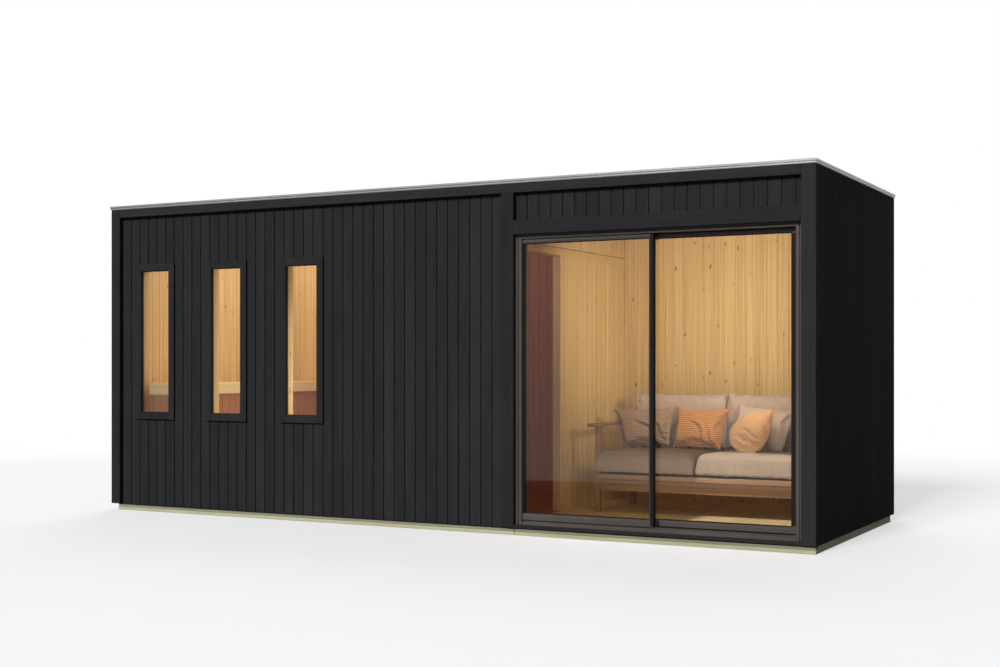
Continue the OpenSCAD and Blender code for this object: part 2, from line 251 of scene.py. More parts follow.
class Value:
    """A number that a node gives out. Arithmetic on it adds Math nodes."""

    def __init__(self, shader, socket):
        self.shader = shader
        self.socket = socket

    def __add__(self, other):
        return self.shader.math("ADD", self, other)

    def __sub__(self, other):
        return self.shader.math("SUBTRACT", self, other)

    def __mul__(self, other):
        return self.shader.math("MULTIPLY", self, other)

    def __pow__(self, other):
        return self.shader.math("POWER", self, other)


class Shader:
    """A small helper that builds the nodes of one material or world."""

    def __init__(self, name, store=None):
        self.made = (bpy.data.materials if store is None else store).new(name)
        self.made.use_nodes = True
        self.tree = self.made.node_tree
        self.tree.nodes.clear()

    def add(self, kind, inputs=None, **settings):
        node = self.tree.nodes.new(kind)
        for key, value in settings.items():
            setattr(node, key, value)
        for key, value in (inputs or {}).items():
            value = getattr(value, "socket", value)
            if isinstance(value, bpy.types.NodeSocket):
                self.tree.links.new(value, node.inputs[key])
            else:
                node.inputs[key].default_value = value
        return node

    def value(self, kind, inputs=None, output=0, **settings):
        return Value(self, self.add(kind, inputs, **settings).outputs[output])

    def attribute(self, name, output="Vector"):
        return self.value("ShaderNodeAttribute", output=output, attribute_name=name)

    def place(self):
        return self.value("ShaderNodeTexCoord", output="Object")

    def scaled(self, vector, scale):
        return self.value("ShaderNodeVectorMath", {0: vector, 1: scale}, operation="MULTIPLY")

    def noise(self, vector, scale=1.0, detail=3.0, rough=0.55, warp=0.0):
        """Noise from 0 to 1. Its scale is one number, or three for noise that is drawn out."""
        if isinstance(scale, tuple):
            vector, scale = self.scaled(vector, scale), 1.0
        inputs = {"Vector": vector, "Scale": scale, "Detail": detail, "Roughness": rough, "Distortion": warp}
        return self.value("ShaderNodeTexNoise", inputs, "Fac")

    def math(self, kind, a, b=0.0, clamp=False):
        return self.value("ShaderNodeMath", {0: a, 1: b}, operation=kind, use_clamp=clamp)

    def band(self, value, low, high):
        """0 below low, 1 above high, smooth between; or the other way round."""
        inputs = {"Value": value, "From Min": low, "From Max": high}
        return self.value("ShaderNodeMapRange", inputs, interpolation_type="SMOOTHSTEP")

    def spread(self, value, low, high):
        """A value from 0 to 1 turned into one from low to high."""
        return self.value("ShaderNodeMapRange", {"Value": value, "To Min": low, "To Max": high})

    def cells(self, vector, low, high):
        """Scattered cells: the distance from each cell's middle, and a chance number for the cell."""
        spots = self.add("ShaderNodeTexVoronoi", {"Vector": vector, "Scale": 1.0}, voronoi_dimensions="2D")
        chance = self.value("ShaderNodeSeparateColor", {0: spots.outputs["Color"]})
        return Value(self, spots.outputs["Distance"]), self.band(chance, low, high)

    def ramp(self, value, *stops):
        node = self.add("ShaderNodeValToRGB", {"Fac": value})
        points = node.color_ramp.elements
        while len(points) < len(stops):
            points.new(0.5)
        for point, (at, colour) in zip(points, stops):
            point.position = at
            point.color = (*colour, 1.0)
        return Value(self, node.outputs["Color"])

    def mix(self, share, a, b):
        a, b = (value if isinstance(value, Value) else (*value, 1.0) for value in (a, b))
        return self.value("ShaderNodeMix", {0: share, 6: a, 7: b}, 2, data_type="RGBA")

    def finish(self, colour, roughness, bump, **more):
        """The main shader and the output. bump is (height, strength, distance)."""
        height, strength, distance = bump
        normal = self.value("ShaderNodeBump", {"Height": height, "Strength": strength, "Distance": distance})
        inputs = {"Base Color": colour, "Roughness": roughness, "Normal": normal}
        inputs.update((key.replace("_", " "), value) for key, value in more.items())
        shader = self.add("ShaderNodeBsdfPrincipled", inputs)
        self.add("ShaderNodeOutputMaterial", {"Surface": shader.outputs[0]})
        return self.made


def along_and_across(s, grain):
    """The grain place seen square to any face: across it first and then along it."""
    split = s.add("ShaderNodeSeparateXYZ", {0: grain})
    across = s.math("ADD", split.outputs[0], split.outputs[1])
    return s.value("ShaderNodeCombineXYZ", {0: across, 1: split.outputs[2]})


def blend(p, q, share):
    return tuple((1 - share) * a + share * b for a, b in zip(p, q))


def wood(name, light, dark, knot, specular=0.2, knot_share=0.5, resin=0.45, knots=(9.6, 4.9)):
    """Sawn softwood: fine streaks along the grain, a tone for each board, knots and resin lines."""
    s = Shader(name)
    grain = s.attribute("grain")
    tone = s.attribute("tone", "Fac")
    fibre = s.noise(grain, (520.0, 520.0, 7.0), 3.0, 0.6)
    fine = s.noise(grain, (150.0, 150.0, 0.7), 3.0, 0.75)
    middle = s.noise(grain, (48.0, 48.0, 0.35), 2.0, warp=0.2)
    mixed = fine * 0.74 + middle * 0.12 + fibre * 0.14 + (tone - 0.5) * 0.055
    colour = s.ramp(mixed, (0.40, light), (0.51, blend(light, dark, 0.45)), (0.63, dark))

    flat = along_and_across(s, grain)
    bend = s.scaled(s.noise(flat, (60.0, 26.0, 1.0), 2.0), (0.35, 0.35, 0.0))
    bent = s.value("ShaderNodeVectorMath", {0: s.scaled(flat, (*knots, 1.0)), 1: bend}, operation="ADD")
    distance, chance = s.cells(bent, 1.0 - knot_share, 1.0)
    size = chance ** 1.8 * 0.066
    near = size - distance
    inside = s.band(near, 0.0, 0.018)
    around = s.band(near, -0.075, 0.0) * s.band(size, 0.004, 0.03)
    colour = s.mix(around * 0.6, colour, blend(dark, knot, 0.45))
    lines = s.band(s.noise(grain, (110.0, 110.0, 0.6), 1.0), 0.66, 0.74)
    colour = s.mix(lines * resin, colour, blend(dark, knot, 0.2))
    colour = s.mix(inside, colour, knot)
    height = fine * 0.8 + fibre * 0.35 + inside * 0.25
    return s.finish(colour, s.spread(fine, 0.42, 0.62), (height, 0.3, 0.001), Specular_IOR_Level=specular)


def black_stain(name):
    """Black stained boards: near black, the grain just showing, with dusty and worn places."""
    s = Shader(name)
    grain = s.attribute("grain")
    tone = s.attribute("tone", "Fac")
    fine = s.noise(grain, (190.0, 190.0, 4.0), 4.0, 0.7)
    middle = s.noise(grain, (48.0, 48.0, 1.0), 3.0, warp=0.5)
    dust = s.noise(grain, (6.0, 6.0, 1.6), 5.0, 0.7)
    mixed = fine * 0.34 + middle * 0.36 + dust * 0.30 + (tone - 0.5) * 0.16
    colour = s.ramp(mixed, (0.30, (0.0195, 0.0195, 0.0212)), (0.50, (0.0262, 0.0262, 0.0283)),
                    (0.72, (0.0355, 0.0352, 0.0368)))
    distance, chance = s.cells(s.scaled(along_and_across(s, grain), (5.5, 3.4, 1.0)), 0.60, 1.0)
    knots = s.band(chance * 0.045 - distance, 0.0, 0.012)
    colour = s.mix(knots * 0.75, colour, (0.046, 0.036, 0.031))
    height = fine * 0.8 + middle * 0.7 + knots * 0.4
    return s.finish(colour, s.spread(dust, 0.58, 0.80), (height, 0.5, 0.0014), Specular_IOR_Level=0.003)


def object_wood(name, light, dark, scale):
    """Plain timber placed by object coordinates, for the solids behind the boards."""
    s = Shader(name)
    place = s.scaled(s.place(), scale)
    fine = s.noise(place, 4.0, 4.0, 0.65)
    broad = s.noise(place, 0.8, 3.0)
    colour = s.ramp(fine * 0.5 + broad * 0.5, (0.32, light), (0.70, dark))
    return s.finish(colour, 0.62, (fine, 0.3, 0.001), Specular_IOR_Level=0.2)


def bronze_aluminium(name):
    """Powder-coated aluminium: fine orange peel and a slight unevenness in the brown."""
    s = Shader(name)
    place = s.place()
    patch = s.noise(place, 2.3, 3.0)
    speck = s.noise(place, 900.0, 2.0)
    colour = s.ramp(patch, (0.35, (0.070, 0.059, 0.053)), (0.65, (0.088, 0.075, 0.067)))
    return s.finish(colour, s.spread(patch, 0.36, 0.50), (speck, 0.12, 0.0003), Specular_IOR_Level=0.12)


def rubber(name):
    s = Shader(name)
    fine = s.noise(s.place(), 400.0, 2.0)
    colour = s.ramp(fine, (0.35, (0.010, 0.010, 0.011)), (0.65, (0.018, 0.018, 0.019)))
    return s.finish(colour, 0.62, (fine, 0.2, 0.0003), Specular_IOR_Level=0.05)


def roof_metal(name):
    """Galvanised steel flashing: pale grey, faint rolling marks, dirt runs and a little chalking."""
    s = Shader(name)
    place = s.place()
    runs = s.noise(place, (9.0, 9.0, 40.0))
    patch = s.noise(place, 1.1, 4.0, 0.65)
    colour = s.ramp(runs * 0.35 + patch * 0.65, (0.30, (0.245, 0.255, 0.26)), (0.52, (0.29, 0.30, 0.303)),
                    (0.74, (0.34, 0.347, 0.347)))
    return s.finish(colour, s.spread(patch, 0.30, 0.45), (runs, 0.08, 0.0008), Metallic=1.0)


def roof_felt(name):
    """Mineral felt: dark grit with a scatter of paler grains and dusty laps."""
    s = Shader(name)
    place = s.place()
    grit = s.noise(place, 620.0, 3.0, 0.7)
    patch = s.noise(place, 1.6, 5.0, 0.65)
    colour = s.ramp(grit * 0.55 + patch * 0.45, (0.32, (0.030, 0.032, 0.034)), (0.52, (0.055, 0.058, 0.060)),
                    (0.72, (0.115, 0.118, 0.118)))
    return s.finish(colour, 0.86, (grit, 0.8, 0.0016), Specular_IOR_Level=0.15)


def clear_glass(name, tint, base):
    """Clear glass as a see-through sheet with a reflection that grows towards the edge of view."""
    s = Shader(name)
    facing = s.value("ShaderNodeLayerWeight", {"Blend": 0.5}, "Facing")
    share = s.math("ADD", facing ** 5.0 * 0.9, base, clamp=True)
    smear = s.noise(s.place(), (3.0, 3.0, 1.2), 4.0)
    roughness = s.spread(smear, 0.0, 0.02)
    shine = s.add("ShaderNodeBsdfGlossy", {"Color": WHITE, "Roughness": roughness})
    through = s.add("ShaderNodeBsdfTransparent", {"Color": (*tint, 1.0)})
    both = s.add("ShaderNodeMixShader", {0: share, 1: through.outputs[0], 2: shine.outputs[0]})
    s.add("ShaderNodeOutputMaterial", {"Surface": both.outputs[0]})
    return s.made


def fabric(name, light, dark, coordinates, ribs=0.0):
    """Woven cloth: crossing threads, slubs, flecks, and ribs where the cloth has them; ribs darkens the
    furrows between them as painted shade.
    """
    thread = 0.0024
    s = Shader(name)
    place = s.place() if coordinates == "object" else s.attribute(coordinates)
    split = s.add("ShaderNodeSeparateXYZ", {0: place})
    along, across, deep = (Value(s, output) for output in split.outputs)
    turn = 2 * math.pi / thread
    wobble = s.noise(place, 35.0, 2.0) * 6.0
    weave = s.math("SINE", (along + deep) * turn + wobble) * s.math("SINE", (across - deep) * turn + wobble)
    slubs = s.noise(place, (90.0, 700.0, 700.0), 3.0, 0.6)
    slubs_too = s.noise(place, (700.0, 90.0, 90.0), 3.0, 0.6)
    flecks = s.noise(place, 260.0, 4.0, 0.75)
    broad = s.noise(place, 5.0, 3.0)
    mixed = slubs * 0.25 + slubs_too * 0.25 + flecks * 0.25 + broad * 0.15 + weave * 0.05
    colour = s.ramp(mixed, (0.29, light), (0.61, dark))
    if ribs:
        # painted shade: the low places between ribs take the dark colour, scaled by ribs
        colour = s.mix(s.band(s.attribute("rib", "Fac"), 0.62, 0.05), colour, tuple(v * ribs for v in dark))
    height = weave * 0.35 + slubs * 0.6 + flecks * 0.5
    return s.finish(colour, 0.88, (height, 0.25 if ribs else 0.55, 0.0009), Specular_IOR_Level=0.12,
                    Sheen_Weight=0.15, Sheen_Roughness=0.5)


def treated_timber(name, share):
    """Green-treated softwood, pale olive with broad weathered patches; share dims it, for a copy that paints
    shade.
    """
    s = Shader(name)
    grain = s.attribute("grain")
    tone = s.attribute("tone", "Fac")
    fine = s.noise(grain, (170.0, 170.0, 3.0), 4.0, 0.65)
    broad = s.noise(grain, (14.0, 14.0, 0.9), 4.0, 0.6)
    shades = ((0.30, (0.56, 0.54, 0.38)), (0.50, (0.46, 0.44, 0.285)), (0.72, (0.33, 0.315, 0.20)))
    colour = s.ramp(fine * 0.45 + broad * 0.55 + (tone - 0.5) * 0.25,
                    *((at, tuple(share * v for v in shade)) for at, shade in shades))
    return s.finish(colour, 0.75, (fine + broad, 0.45, 0.0014), Specular_IOR_Level=0.2)


BLACK = black_stain("black_stained_timber")
PINE = wood("pine_lining", (0.705, 0.495, 0.205), (0.515, 0.285, 0.088), (0.150, 0.045, 0.012),
            knot_share=0.62, resin=0.60, knots=(12.5, 6.2))
PINE_END = wood("pine_end_board", (0.53, 0.335, 0.165), (0.38, 0.205, 0.085), (0.16, 0.055, 0.016))
CEILING_PINE = wood("pine_ceiling", (0.66, 0.47, 0.22), (0.50, 0.32, 0.13), (0.20, 0.080, 0.025))
FLOOR = wood("floor_planks", (0.62, 0.425, 0.205), (0.42, 0.250, 0.100), (0.18, 0.08, 0.03),
             knot_share=0.2, resin=0.25)
# a darker, redder copy of the floor: painted shade for the rooms beyond the lounge
FLOOR_PAINTED_SHADE = wood("floor_planks_painted_shade", (0.30, 0.105, 0.032), (0.19, 0.058, 0.016), (0.08, 0.02, 0.01),
                  knot_share=0.2)
# dark red-brown boards: painted shade of the unlit room seen through the doorway
DARK_WOOD_PAINTED_SHADE = wood("dark_boards", (0.265, 0.062, 0.019), (0.140, 0.027, 0.008), (0.03, 0.010, 0.005),
                 knot_share=0.3)
# dark red-brown wood for the skirt: painted shade under the bench
SKIRT_PAINTED_SHADE = wood("bench_skirt", (0.420, 0.165, 0.066), (0.300, 0.098, 0.037), (0.06, 0.02, 0.01), knot_share=0.2)
# near black wood: painted shadow in the gap under the seat cushions
SHADE_BOARD = wood("seat_painted_shadow_board", (0.030, 0.022, 0.018), (0.018, 0.013, 0.011), (0.01, 0.008, 0.007))
BENCH = wood("bench_boards", (0.80, 0.60, 0.31), (0.65, 0.44, 0.19), (0.35, 0.18, 0.08), knot_share=0.1,
             resin=0.15)
OAK = wood("oak_frame", (0.340, 0.186, 0.082), (0.200, 0.100, 0.040), (0.08, 0.045, 0.02), knot_share=0.05,
           resin=0.3, specular=0.25)
TREATED = treated_timber("treated_timber", 1.0)
# a dimmed copy of the treated timber: painted shade under the cladding's overhang
TREATED_PAINTED_SHADE = treated_timber("treated_timber_painted_shade", 0.52)
CORE = object_wood("core_timber", (0.60, 0.42, 0.22), (0.46, 0.29, 0.13), (14.0, 14.0, 1.0))
DECK = object_wood("deck_timber", (0.55, 0.42, 0.25), (0.40, 0.28, 0.15), (14.0, 1.0, 14.0))
BRONZE = bronze_aluminium("bronze_aluminium")
RUBBER = rubber("black_rubber")
METAL = roof_metal("roof_metal")
FELT = roof_felt("roof_felt")
GLASS = clear_glass("clear_glass", (0.985, 0.99, 0.985), 0.019)


# ---------------------------------------------------------------- outside boards

def edges(start, stop, pitch, first=None):
    """Board edges from start to stop: a first board of its own width, then the pitch, then what is left."""
    marks = [start]
    at = start + (first or pitch)
    while at < stop - 0.02:
        marks.append(at)
        at += pitch
    return marks + [stop]


def clad_outline(a, b, face, back, left, right):
    """Section of a grooved board seen from above: a and b across, face and back in depth."""
    g = BOARD_GROOVE / 2
    c = 0.0016
    side = 1 if back > face else -1
    deep = face + side * 0.010
    start = [(a, deep), (a + g, deep), (a + g, face + side * c), (a + g + c, face)] if left else [(a, face)]
    end = [(b - g - c, face), (b - g, face + side * c), (b - g, deep), (b, deep)] if right else [(b, face)]
    return [(a, back), *start, *end, (b, back)]


def upright(maker, across, outline, z0, z1, cut=None):
    """One upright board. Its outline runs along the cabin (x) or across it (y), and in depth."""
    if across == "y":
        outline = [(v, u) for u, v in outline]
    maker.sweep(outline, "z", z0, z1, cut)


def holes_over(holes, low, high):
    return [hole for hole in holes if hole[0] <= low + 1e-4 and high - 1e-4 <= hole[1]]


def board_wall(maker, across, marks, face, back, z0, z1, holes=()):
    """A wall of upright boards, cut round holes given as (low, high, bottom, top)."""
    sides = [side for hole in holes for side in hole[:2]]
    for a, b in zip(marks[:-1], marks[1:]):
        cut = maker.cut()
        stops = sorted([a, b] + [side for side in sides if a < side < b])
        for p, q in zip(stops[:-1], stops[1:]):
            outline = clad_outline(p, q, face, back, p == a, q == b)
            over = holes_over(holes, p, q)
            for low, high in ((z0, over[0][2]), (over[0][3], z1)) if over else ((z0, z1),):
                upright(maker, across, outline, low, high, cut)


def window_holes():
    """The holes round the three windows' glass: (low, high, bottom, top)."""
    boxes = [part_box(f"window_glass_{i}") for i in (1, 2, 3)]
    return [(lo.x, hi.x, lo.z, hi.z) for lo, hi in boxes]


def outside_walls():
    for seed, name, node, across, count, holes in (
            (11, "front", "front_cladding_left", "x", 39, window_holes()),
            (12, "over_door", "front_cladding_over_door", "x", 0, ()),
            (13, "left_end", "left_end_cladding", "y", 0, ()),
            (14, "right_end", "right_end_cladding", "y", 0, ()),
            (15, "back", "back_cladding", "x", 64, ())):
        lo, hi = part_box(node)
        pitch = (hi.x - lo.x) / count if count else BOARD_PITCH
        if across == "x":
            marks, depths = edges(lo.x, hi.x, pitch), (lo.y, hi.y)
        else:
            marks, depths = edges(lo.y, hi.y, pitch, first=0.047), (lo.x, hi.x)
        face, back = depths[::-1] if name in ("right_end", "back") else depths
        m = Maker(seed)
        board_wall(m, across, marks, face, back, lo.z, hi.z, holes)
        build(f"black_boards_{name}", m, BLACK, [node])


def outside_trims():
    for seed, name, axis in ((21, "corner_trim_left", "z"), (22, "corner_trim_right", "z"),
                             (23, "mid_trim", "z"), (24, "fascia_board", "x"),
                             (25, "door_head_trim", "x"), (26, "door_sill_board", "x")):
        m = Maker(seed)
        m.board(*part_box(name), axis, BOARD_EDGE)
        build(f"black_{name}", m, BLACK, [name])


def surround(m, lo, hi, hole, c):
    """Two upright boards and two level ones between them, round a hole (low, high, bottom, top)."""
    x0, x1, z0, z1 = hole
    (left, y0, bottom), (right, y1, top) = lo, hi
    m.board((left, y0, bottom), (x0, y1, top), "z", c)
    m.board((x1, y0, bottom), (right, y1, top), "z", c)
    m.board((x0, y0, bottom), (x1, y1, z0), "x", c)
    m.board((x0, y0, z1), (x1, y1, top), "x", c)


def window_casings():
    rebate = 0.015
    for i, (left, right, bottom, top) in enumerate(window_holes(), 1):
        x0, x1, z0, z1 = left + rebate, right - rebate, bottom + rebate, top - rebate
        lo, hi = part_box(f"window_casing_{i}")
        wall = lo.y + 0.020
        m = Maker(30 + i)
        surround(m, lo, (hi.x, wall, hi.z), (x0, x1, z0, z1), BOARD_EDGE)
        build(f"black_window_casing_{i}", m, BLACK, [f"window_casing_{i}"])

        # a black sleeve round the glass: painted shade of the casing's inner sides
        bead = Maker(40 + i)
        under = 0.013
        profile = [(0.0, wall - 0.004), (0.8, wall - 0.002), (1.0, wall + 0.001), (1.0, hi.y), (0.0, hi.y)]
        bead.frame("y", (x0 - under, 0, z0 - under), (x1 + under, 0, z1 + under), profile, (0.017,) * 4)
        build(f"window_bead_{i}", bead, RUBBER)

        lo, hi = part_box(f"window_reveal_{i}")
        m = Maker(50 + i)
        inside = (lo.x + rebate, hi.x - rebate, lo.z + rebate, hi.z - rebate)
        surround(m, lo, hi, inside, 0.001)
        build(f"pine_window_reveal_{i}", m, PINE, [f"window_reveal_{i}"])


def base_timbers():
    """Two front lengths with a butt joint, the same at the back, and joists between them."""
    lo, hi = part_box("base_frame")
    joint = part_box("mid_trim")[0].x + 0.10
    bearer, joist, joists = 0.060, 0.045, 12
    low, high = 0.024, hi.z - 0.007
    back_step = 0.003
    m, upper, strip = Maker(61), Maker(62), Maker(63)
    for y0, y1, front in ((lo.y, lo.y + bearer, True), (hi.y - bearer, hi.y, False)):
        a, b = (y0 + back_step, y1) if front else (y0, y1 - back_step)
        for x0, x1 in ((lo.x, joint - 0.001), (joint + 0.001, hi.x)):
            u0, u1 = x0 + 0.002, x1 - 0.002
            m.board((x0, y0, 0.0), (x1, y1, low), "x", 0.0025)
            upper.board((u0, a, low), (u1, b, high), "x", 0.0015)
            strip.board((u0, y0 + 0.004, high), (u1, y1 - 0.004, hi.z), "x", 0.0005)
    step = (hi.x - lo.x - joist) / (joists - 1)
    for i in range(joists):
        x = lo.x + i * step
        m.board((x, lo.y + bearer, 0.0005), (x + joist, hi.y - bearer, hi.z), "y", 0.0025)
    build("base_timbers", m, TREATED, ["base_frame"])
    # the upper edge in the dimmed timber: painted shade under the cladding
    build("base_upper_edge", upper, TREATED_PAINTED_SHADE)
    # a black strip along the top of the base: painted shadow of the gap under the cladding
    build("base_painted_shadow_strip", strip, RUBBER)


def roof_edge():
    """The folded metal edge: a rib along its face, a raised inner lip and lapped joints."""
    lo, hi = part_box("roof_edge_trim")
    z0, z1 = lo.z, hi.z
    profile = [
        (0.10, z0), (0.10, z0 + 0.002), (0.02, z0 + 0.003), (0.02, z0 + 0.012), (0.055, z0 + 0.0145),
        (0.0, z0 + 0.0175), (0.0, z1 - 0.0025), (0.025, z1), (0.90, z1 - 0.003), (1.0, z1 - 0.003),
        (1.0, z0 + 0.014), (0.93, z0 + 0.014), (0.93, z0 + 0.002),
    ]
    m = Maker(71)
    m.frame("z", lo, hi, profile, (0.095,) * 4)
    build("roof_edge_metal", m, METAL, ["roof_edge_trim"], smooth=25)

    m = Maker(72)
    grow, reach = 0.0008, 0.020
    for x in (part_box("mid_trim")[1].x + 0.22, -1.02):
        for a, b in ((lo.y - grow, lo.y + reach), (hi.y - reach, hi.y + grow)):
            m.board((x, a, z0 + 0.0176), (x + 0.030, b, z1 + 0.0004), "x", 0.0006)
    build("roof_edge_laps", m, METAL)


def roof_sheets():
    """Felt laid in strips along the cabin, each lapped over the one below it."""
    lo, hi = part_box("roof_covering")
    m = Maker(73)
    strips = 3
    step = (hi.y - lo.y) / strips
    lap = 0.0035
    for i in range(strips):
        above = strips - 1 - i
        y0 = lo.y + i * step
        y1 = y0 + step + (0.08 if above else 0.0)
        m.board((lo.x, y0, lo.z), (hi.x, y1, hi.z - lap * above * 0.9), "x", 0.0012)
    build("roof_felt_strips", m, FELT, ["roof_covering"])


# ---------------------------------------------------------------- door

def sill_profile(y, back, z, top):
    """Section of the sill in depth and height: a lip, two ridges and the inner track bed."""
    return [
        (y, z), (back, z), (back, top), (y + 0.072, top), (y + 0.072, top - 0.003),
        (y + 0.034, top - 0.003), (y + 0.034, top - 0.001), (y + 0.029, top - 0.001),
        (y + 0.029, top - 0.009), (y + 0.017, top - 0.009), (y + 0.016, top - 0.007),
        (y + 0.011, top - 0.007), (y + 0.010, top - 0.015), (y + 0.001, top - 0.017),
    ]


def door_frame():
    lo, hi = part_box("door_frame")
    leaf_lo, leaf_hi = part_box("fixed_leaf_frame")
    jamb = leaf_lo.x - lo.x
    head = hi.z - leaf_hi.z
    top = lo.z + 0.028
    y, x0, x1 = lo.y, lo.x + jamb, hi.x - jamb
    profile = [
        (0.0, y), (0.34, y), (0.36, y + 0.002), (0.36, y + 0.011), (0.48, y + 0.011), (0.48, y + 0.003),
        (0.50, y + 0.001), (0.97, y + 0.001), (1.0, y + 0.004), (1.0, hi.y), (0.0, hi.y),
    ]
    m = Maker(81)
    for x, inward in ((lo.x, jamb), (hi.x, -jamb)):
        m.sweep([(x + inward * share, depth) for share, depth in profile], "z", lo.z, hi.z)
    m.sweep([(depth, hi.z - share * head) for share, depth in profile], "x", x0, x1)
    m.sweep(sill_profile(y, hi.y, lo.z, top), "x", x0, x1)
    for node in ("fixed_leaf_frame", "sliding_leaf_frame"):
        front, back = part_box(node)
        middle = (front.y + back.y) / 2
        m.board((x0, middle - 0.003, top - 0.001), (x1, middle + 0.003, top + 0.005), "x", 0.0008)
    build("door_frame_profiles", m, BRONZE, ["door_frame"])


def leaf_profile(y0, y1):
    """Section of a leaf's stile or rail: round outer edges, a glazing bead and the slot for the glass."""
    middle = (y0 + y1) / 2
    half = [(0.0, 0.002), (0.06, 0.0), (0.66, 0.0), (0.70, 0.003), (0.94, 0.004), (1.0, 0.007)]
    return ([(share, y0 + d) for share, d in half] + [(1.0, middle - 0.004), (1.0, middle + 0.004)]
            + [(share, y1 - d) for share, d in half[::-1]])


def door_leaf(leaf, body, stile_low, stile_high, drop, seed):
    """One leaf: mitred profiles with the glass in black gaskets. drop is how far its foot comes down."""
    lo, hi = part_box(f"{leaf}_frame")
    glass_lo, glass_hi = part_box(f"{leaf}_glass")
    lo = lo - Vector((0, 0, drop))
    slot = 0.005
    widths = (glass_lo.z - lo.z - slot, hi.z - glass_hi.z - slot, stile_low, stile_high)
    m = Maker(seed)
    m.frame("y", lo, hi, leaf_profile(lo.y, hi.y), widths)
    build(f"{leaf}_profiles", m, BRONZE, [f"{leaf}_frame"], body)

    m = Maker(seed + 1)
    inner_lo = (lo.x + stile_low - 0.003, 0, glass_lo.z - slot - 0.001)
    inner_hi = (hi.x - stile_high + 0.003, 0, glass_hi.z + slot + 0.001)
    middle = (lo.y + hi.y) / 2
    for a, b in ((middle - 0.009, middle - 0.005), (middle + 0.005, middle + 0.009)):
        profile = [(0.0, a), (1.0, a), (1.0, b), (0.0, b)]
        m.frame("y", inner_lo, inner_hi, profile, (slot + 0.002, slot + 0.002, 0.005, 0.005))
    return m, lo, hi


def seal_and_shade_strip(m, x0, x1, lo, hi):
    """A black strip that stands a little proud of a leaf's outer stile: partly a seal, partly painted shade
    on the stile.
    """
    m.board((x0, lo.y - 0.0015, lo.z + 0.050), (x1, lo.y + 0.004, hi.z - 0.032), "z", 0.0008)


def door_leaves():
    fixed_lo, fixed_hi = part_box("fixed_leaf_frame")
    slide_lo, slide_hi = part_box("sliding_leaf_frame")
    meet = 0.030
    fixed_stile = 0.012
    slide_stile = slide_hi.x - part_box("sliding_leaf_glass")[1].x
    m, lo, hi = door_leaf("fixed_leaf", "cabin", fixed_stile, meet, 0.0045, 82)
    # the black strip on the outer stile is partly painted shade
    seal_and_shade_strip(m, lo.x + 0.0005, lo.x + fixed_stile + 0.001, lo, hi)
    build("fixed_leaf_gaskets", m, RUBBER)

    m, lo, hi = door_leaf("sliding_leaf", "sliding_leaf", meet, slide_stile, 0.0, 84)
    seal_and_shade_strip(m, hi.x - slide_stile + 0.003, hi.x - 0.0005, lo, hi)
    middle = (lo.y + hi.y) / 2
    a, b = lo.x + 0.004, hi.x - 0.004
    for y in (middle - 0.010, middle + 0.006):
        m.board((a, y, lo.z - 0.0065), (b, y + 0.004, lo.z + 0.001), "x", 0.0005)
        m.board((a, y, hi.z - 0.001), (b, y + 0.004, hi.z + 0.0075), "x", 0.0005)
    build("sliding_leaf_gaskets", m, RUBBER, (), "sliding_leaf")

    m = Maker(86)
    x, y0, y1 = fixed_hi.x, fixed_lo.y, fixed_hi.y
    z0, z1 = fixed_lo.z + 0.004, fixed_hi.z - 0.004
    # black strips on the front and side of the meeting stile: partly a seal, partly painted shade of the dark
    # recess there; then two black foot blocks
    m.board((x - 0.021, y0 - 0.0015, z0), (x + 0.001, y0 + 0.004, z1), "z", 0.001)
    m.board((x + 0.0005, y0 + 0.003, z0), (x + 0.0035, y1 - 0.001, z1), "z", 0.001)
    for z in (fixed_lo.z + 0.002, fixed_hi.z - 0.042):
        m.bar((x + 0.002, y1 + 0.001, z), (x + 0.030, slide_lo.y - 0.002, z + 0.040), "z", 0.003)
    build("door_meeting_seal_and_shade", m, RUBBER)


# ---------------------------------------------------------------- inside boards

def lining_outline(a, b, face, back, v=0.0030, gap=0.0011):
    """Section of a thin lining board with a V at each edge."""
    side = 1 if back > face else -1
    a, b = a + gap, b - gap
    return [(a, back), (a, face + side * v), (a + v, face), (b - v, face), (b, face + side * v), (b, back)]


def lining(maker, across, low, high, face, back, z0, z1, pitch=LINING_PITCH, holes=()):
    """Upright lining boards on a wall; the outline is drawn across and in depth."""
    marks = [low, high] + [side for hole in holes for side in hole[:2]]
    marks = sorted(set(round(v, 5) for v in marks))
    for p, q in zip(marks[:-1], marks[1:]):
        count = max(1, round((q - p) / pitch))
        step = (q - p) / count
        over = holes_over(holes, p, q)
        spans = [(z0, over[0][2]), (over[0][3], z1)] if over else [(z0, z1)]
        for i in range(count):
            outline = lining_outline(p + i * step, p + (i + 1) * step, face, back)
            for a, b in spans:
                upright(maker, across, outline, a, b)


def room():
    """The room between the walls' cores: its lowest and highest corner."""
    lo = (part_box("left_end_wall")[1].x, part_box("front_wall_left")[1].y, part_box("floor_deck")[1].z)
    hi = (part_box("right_end_wall")[0].x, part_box("back_wall")[0].y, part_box("ceiling_boards")[0].z)
    return Vector(lo), Vector(hi)


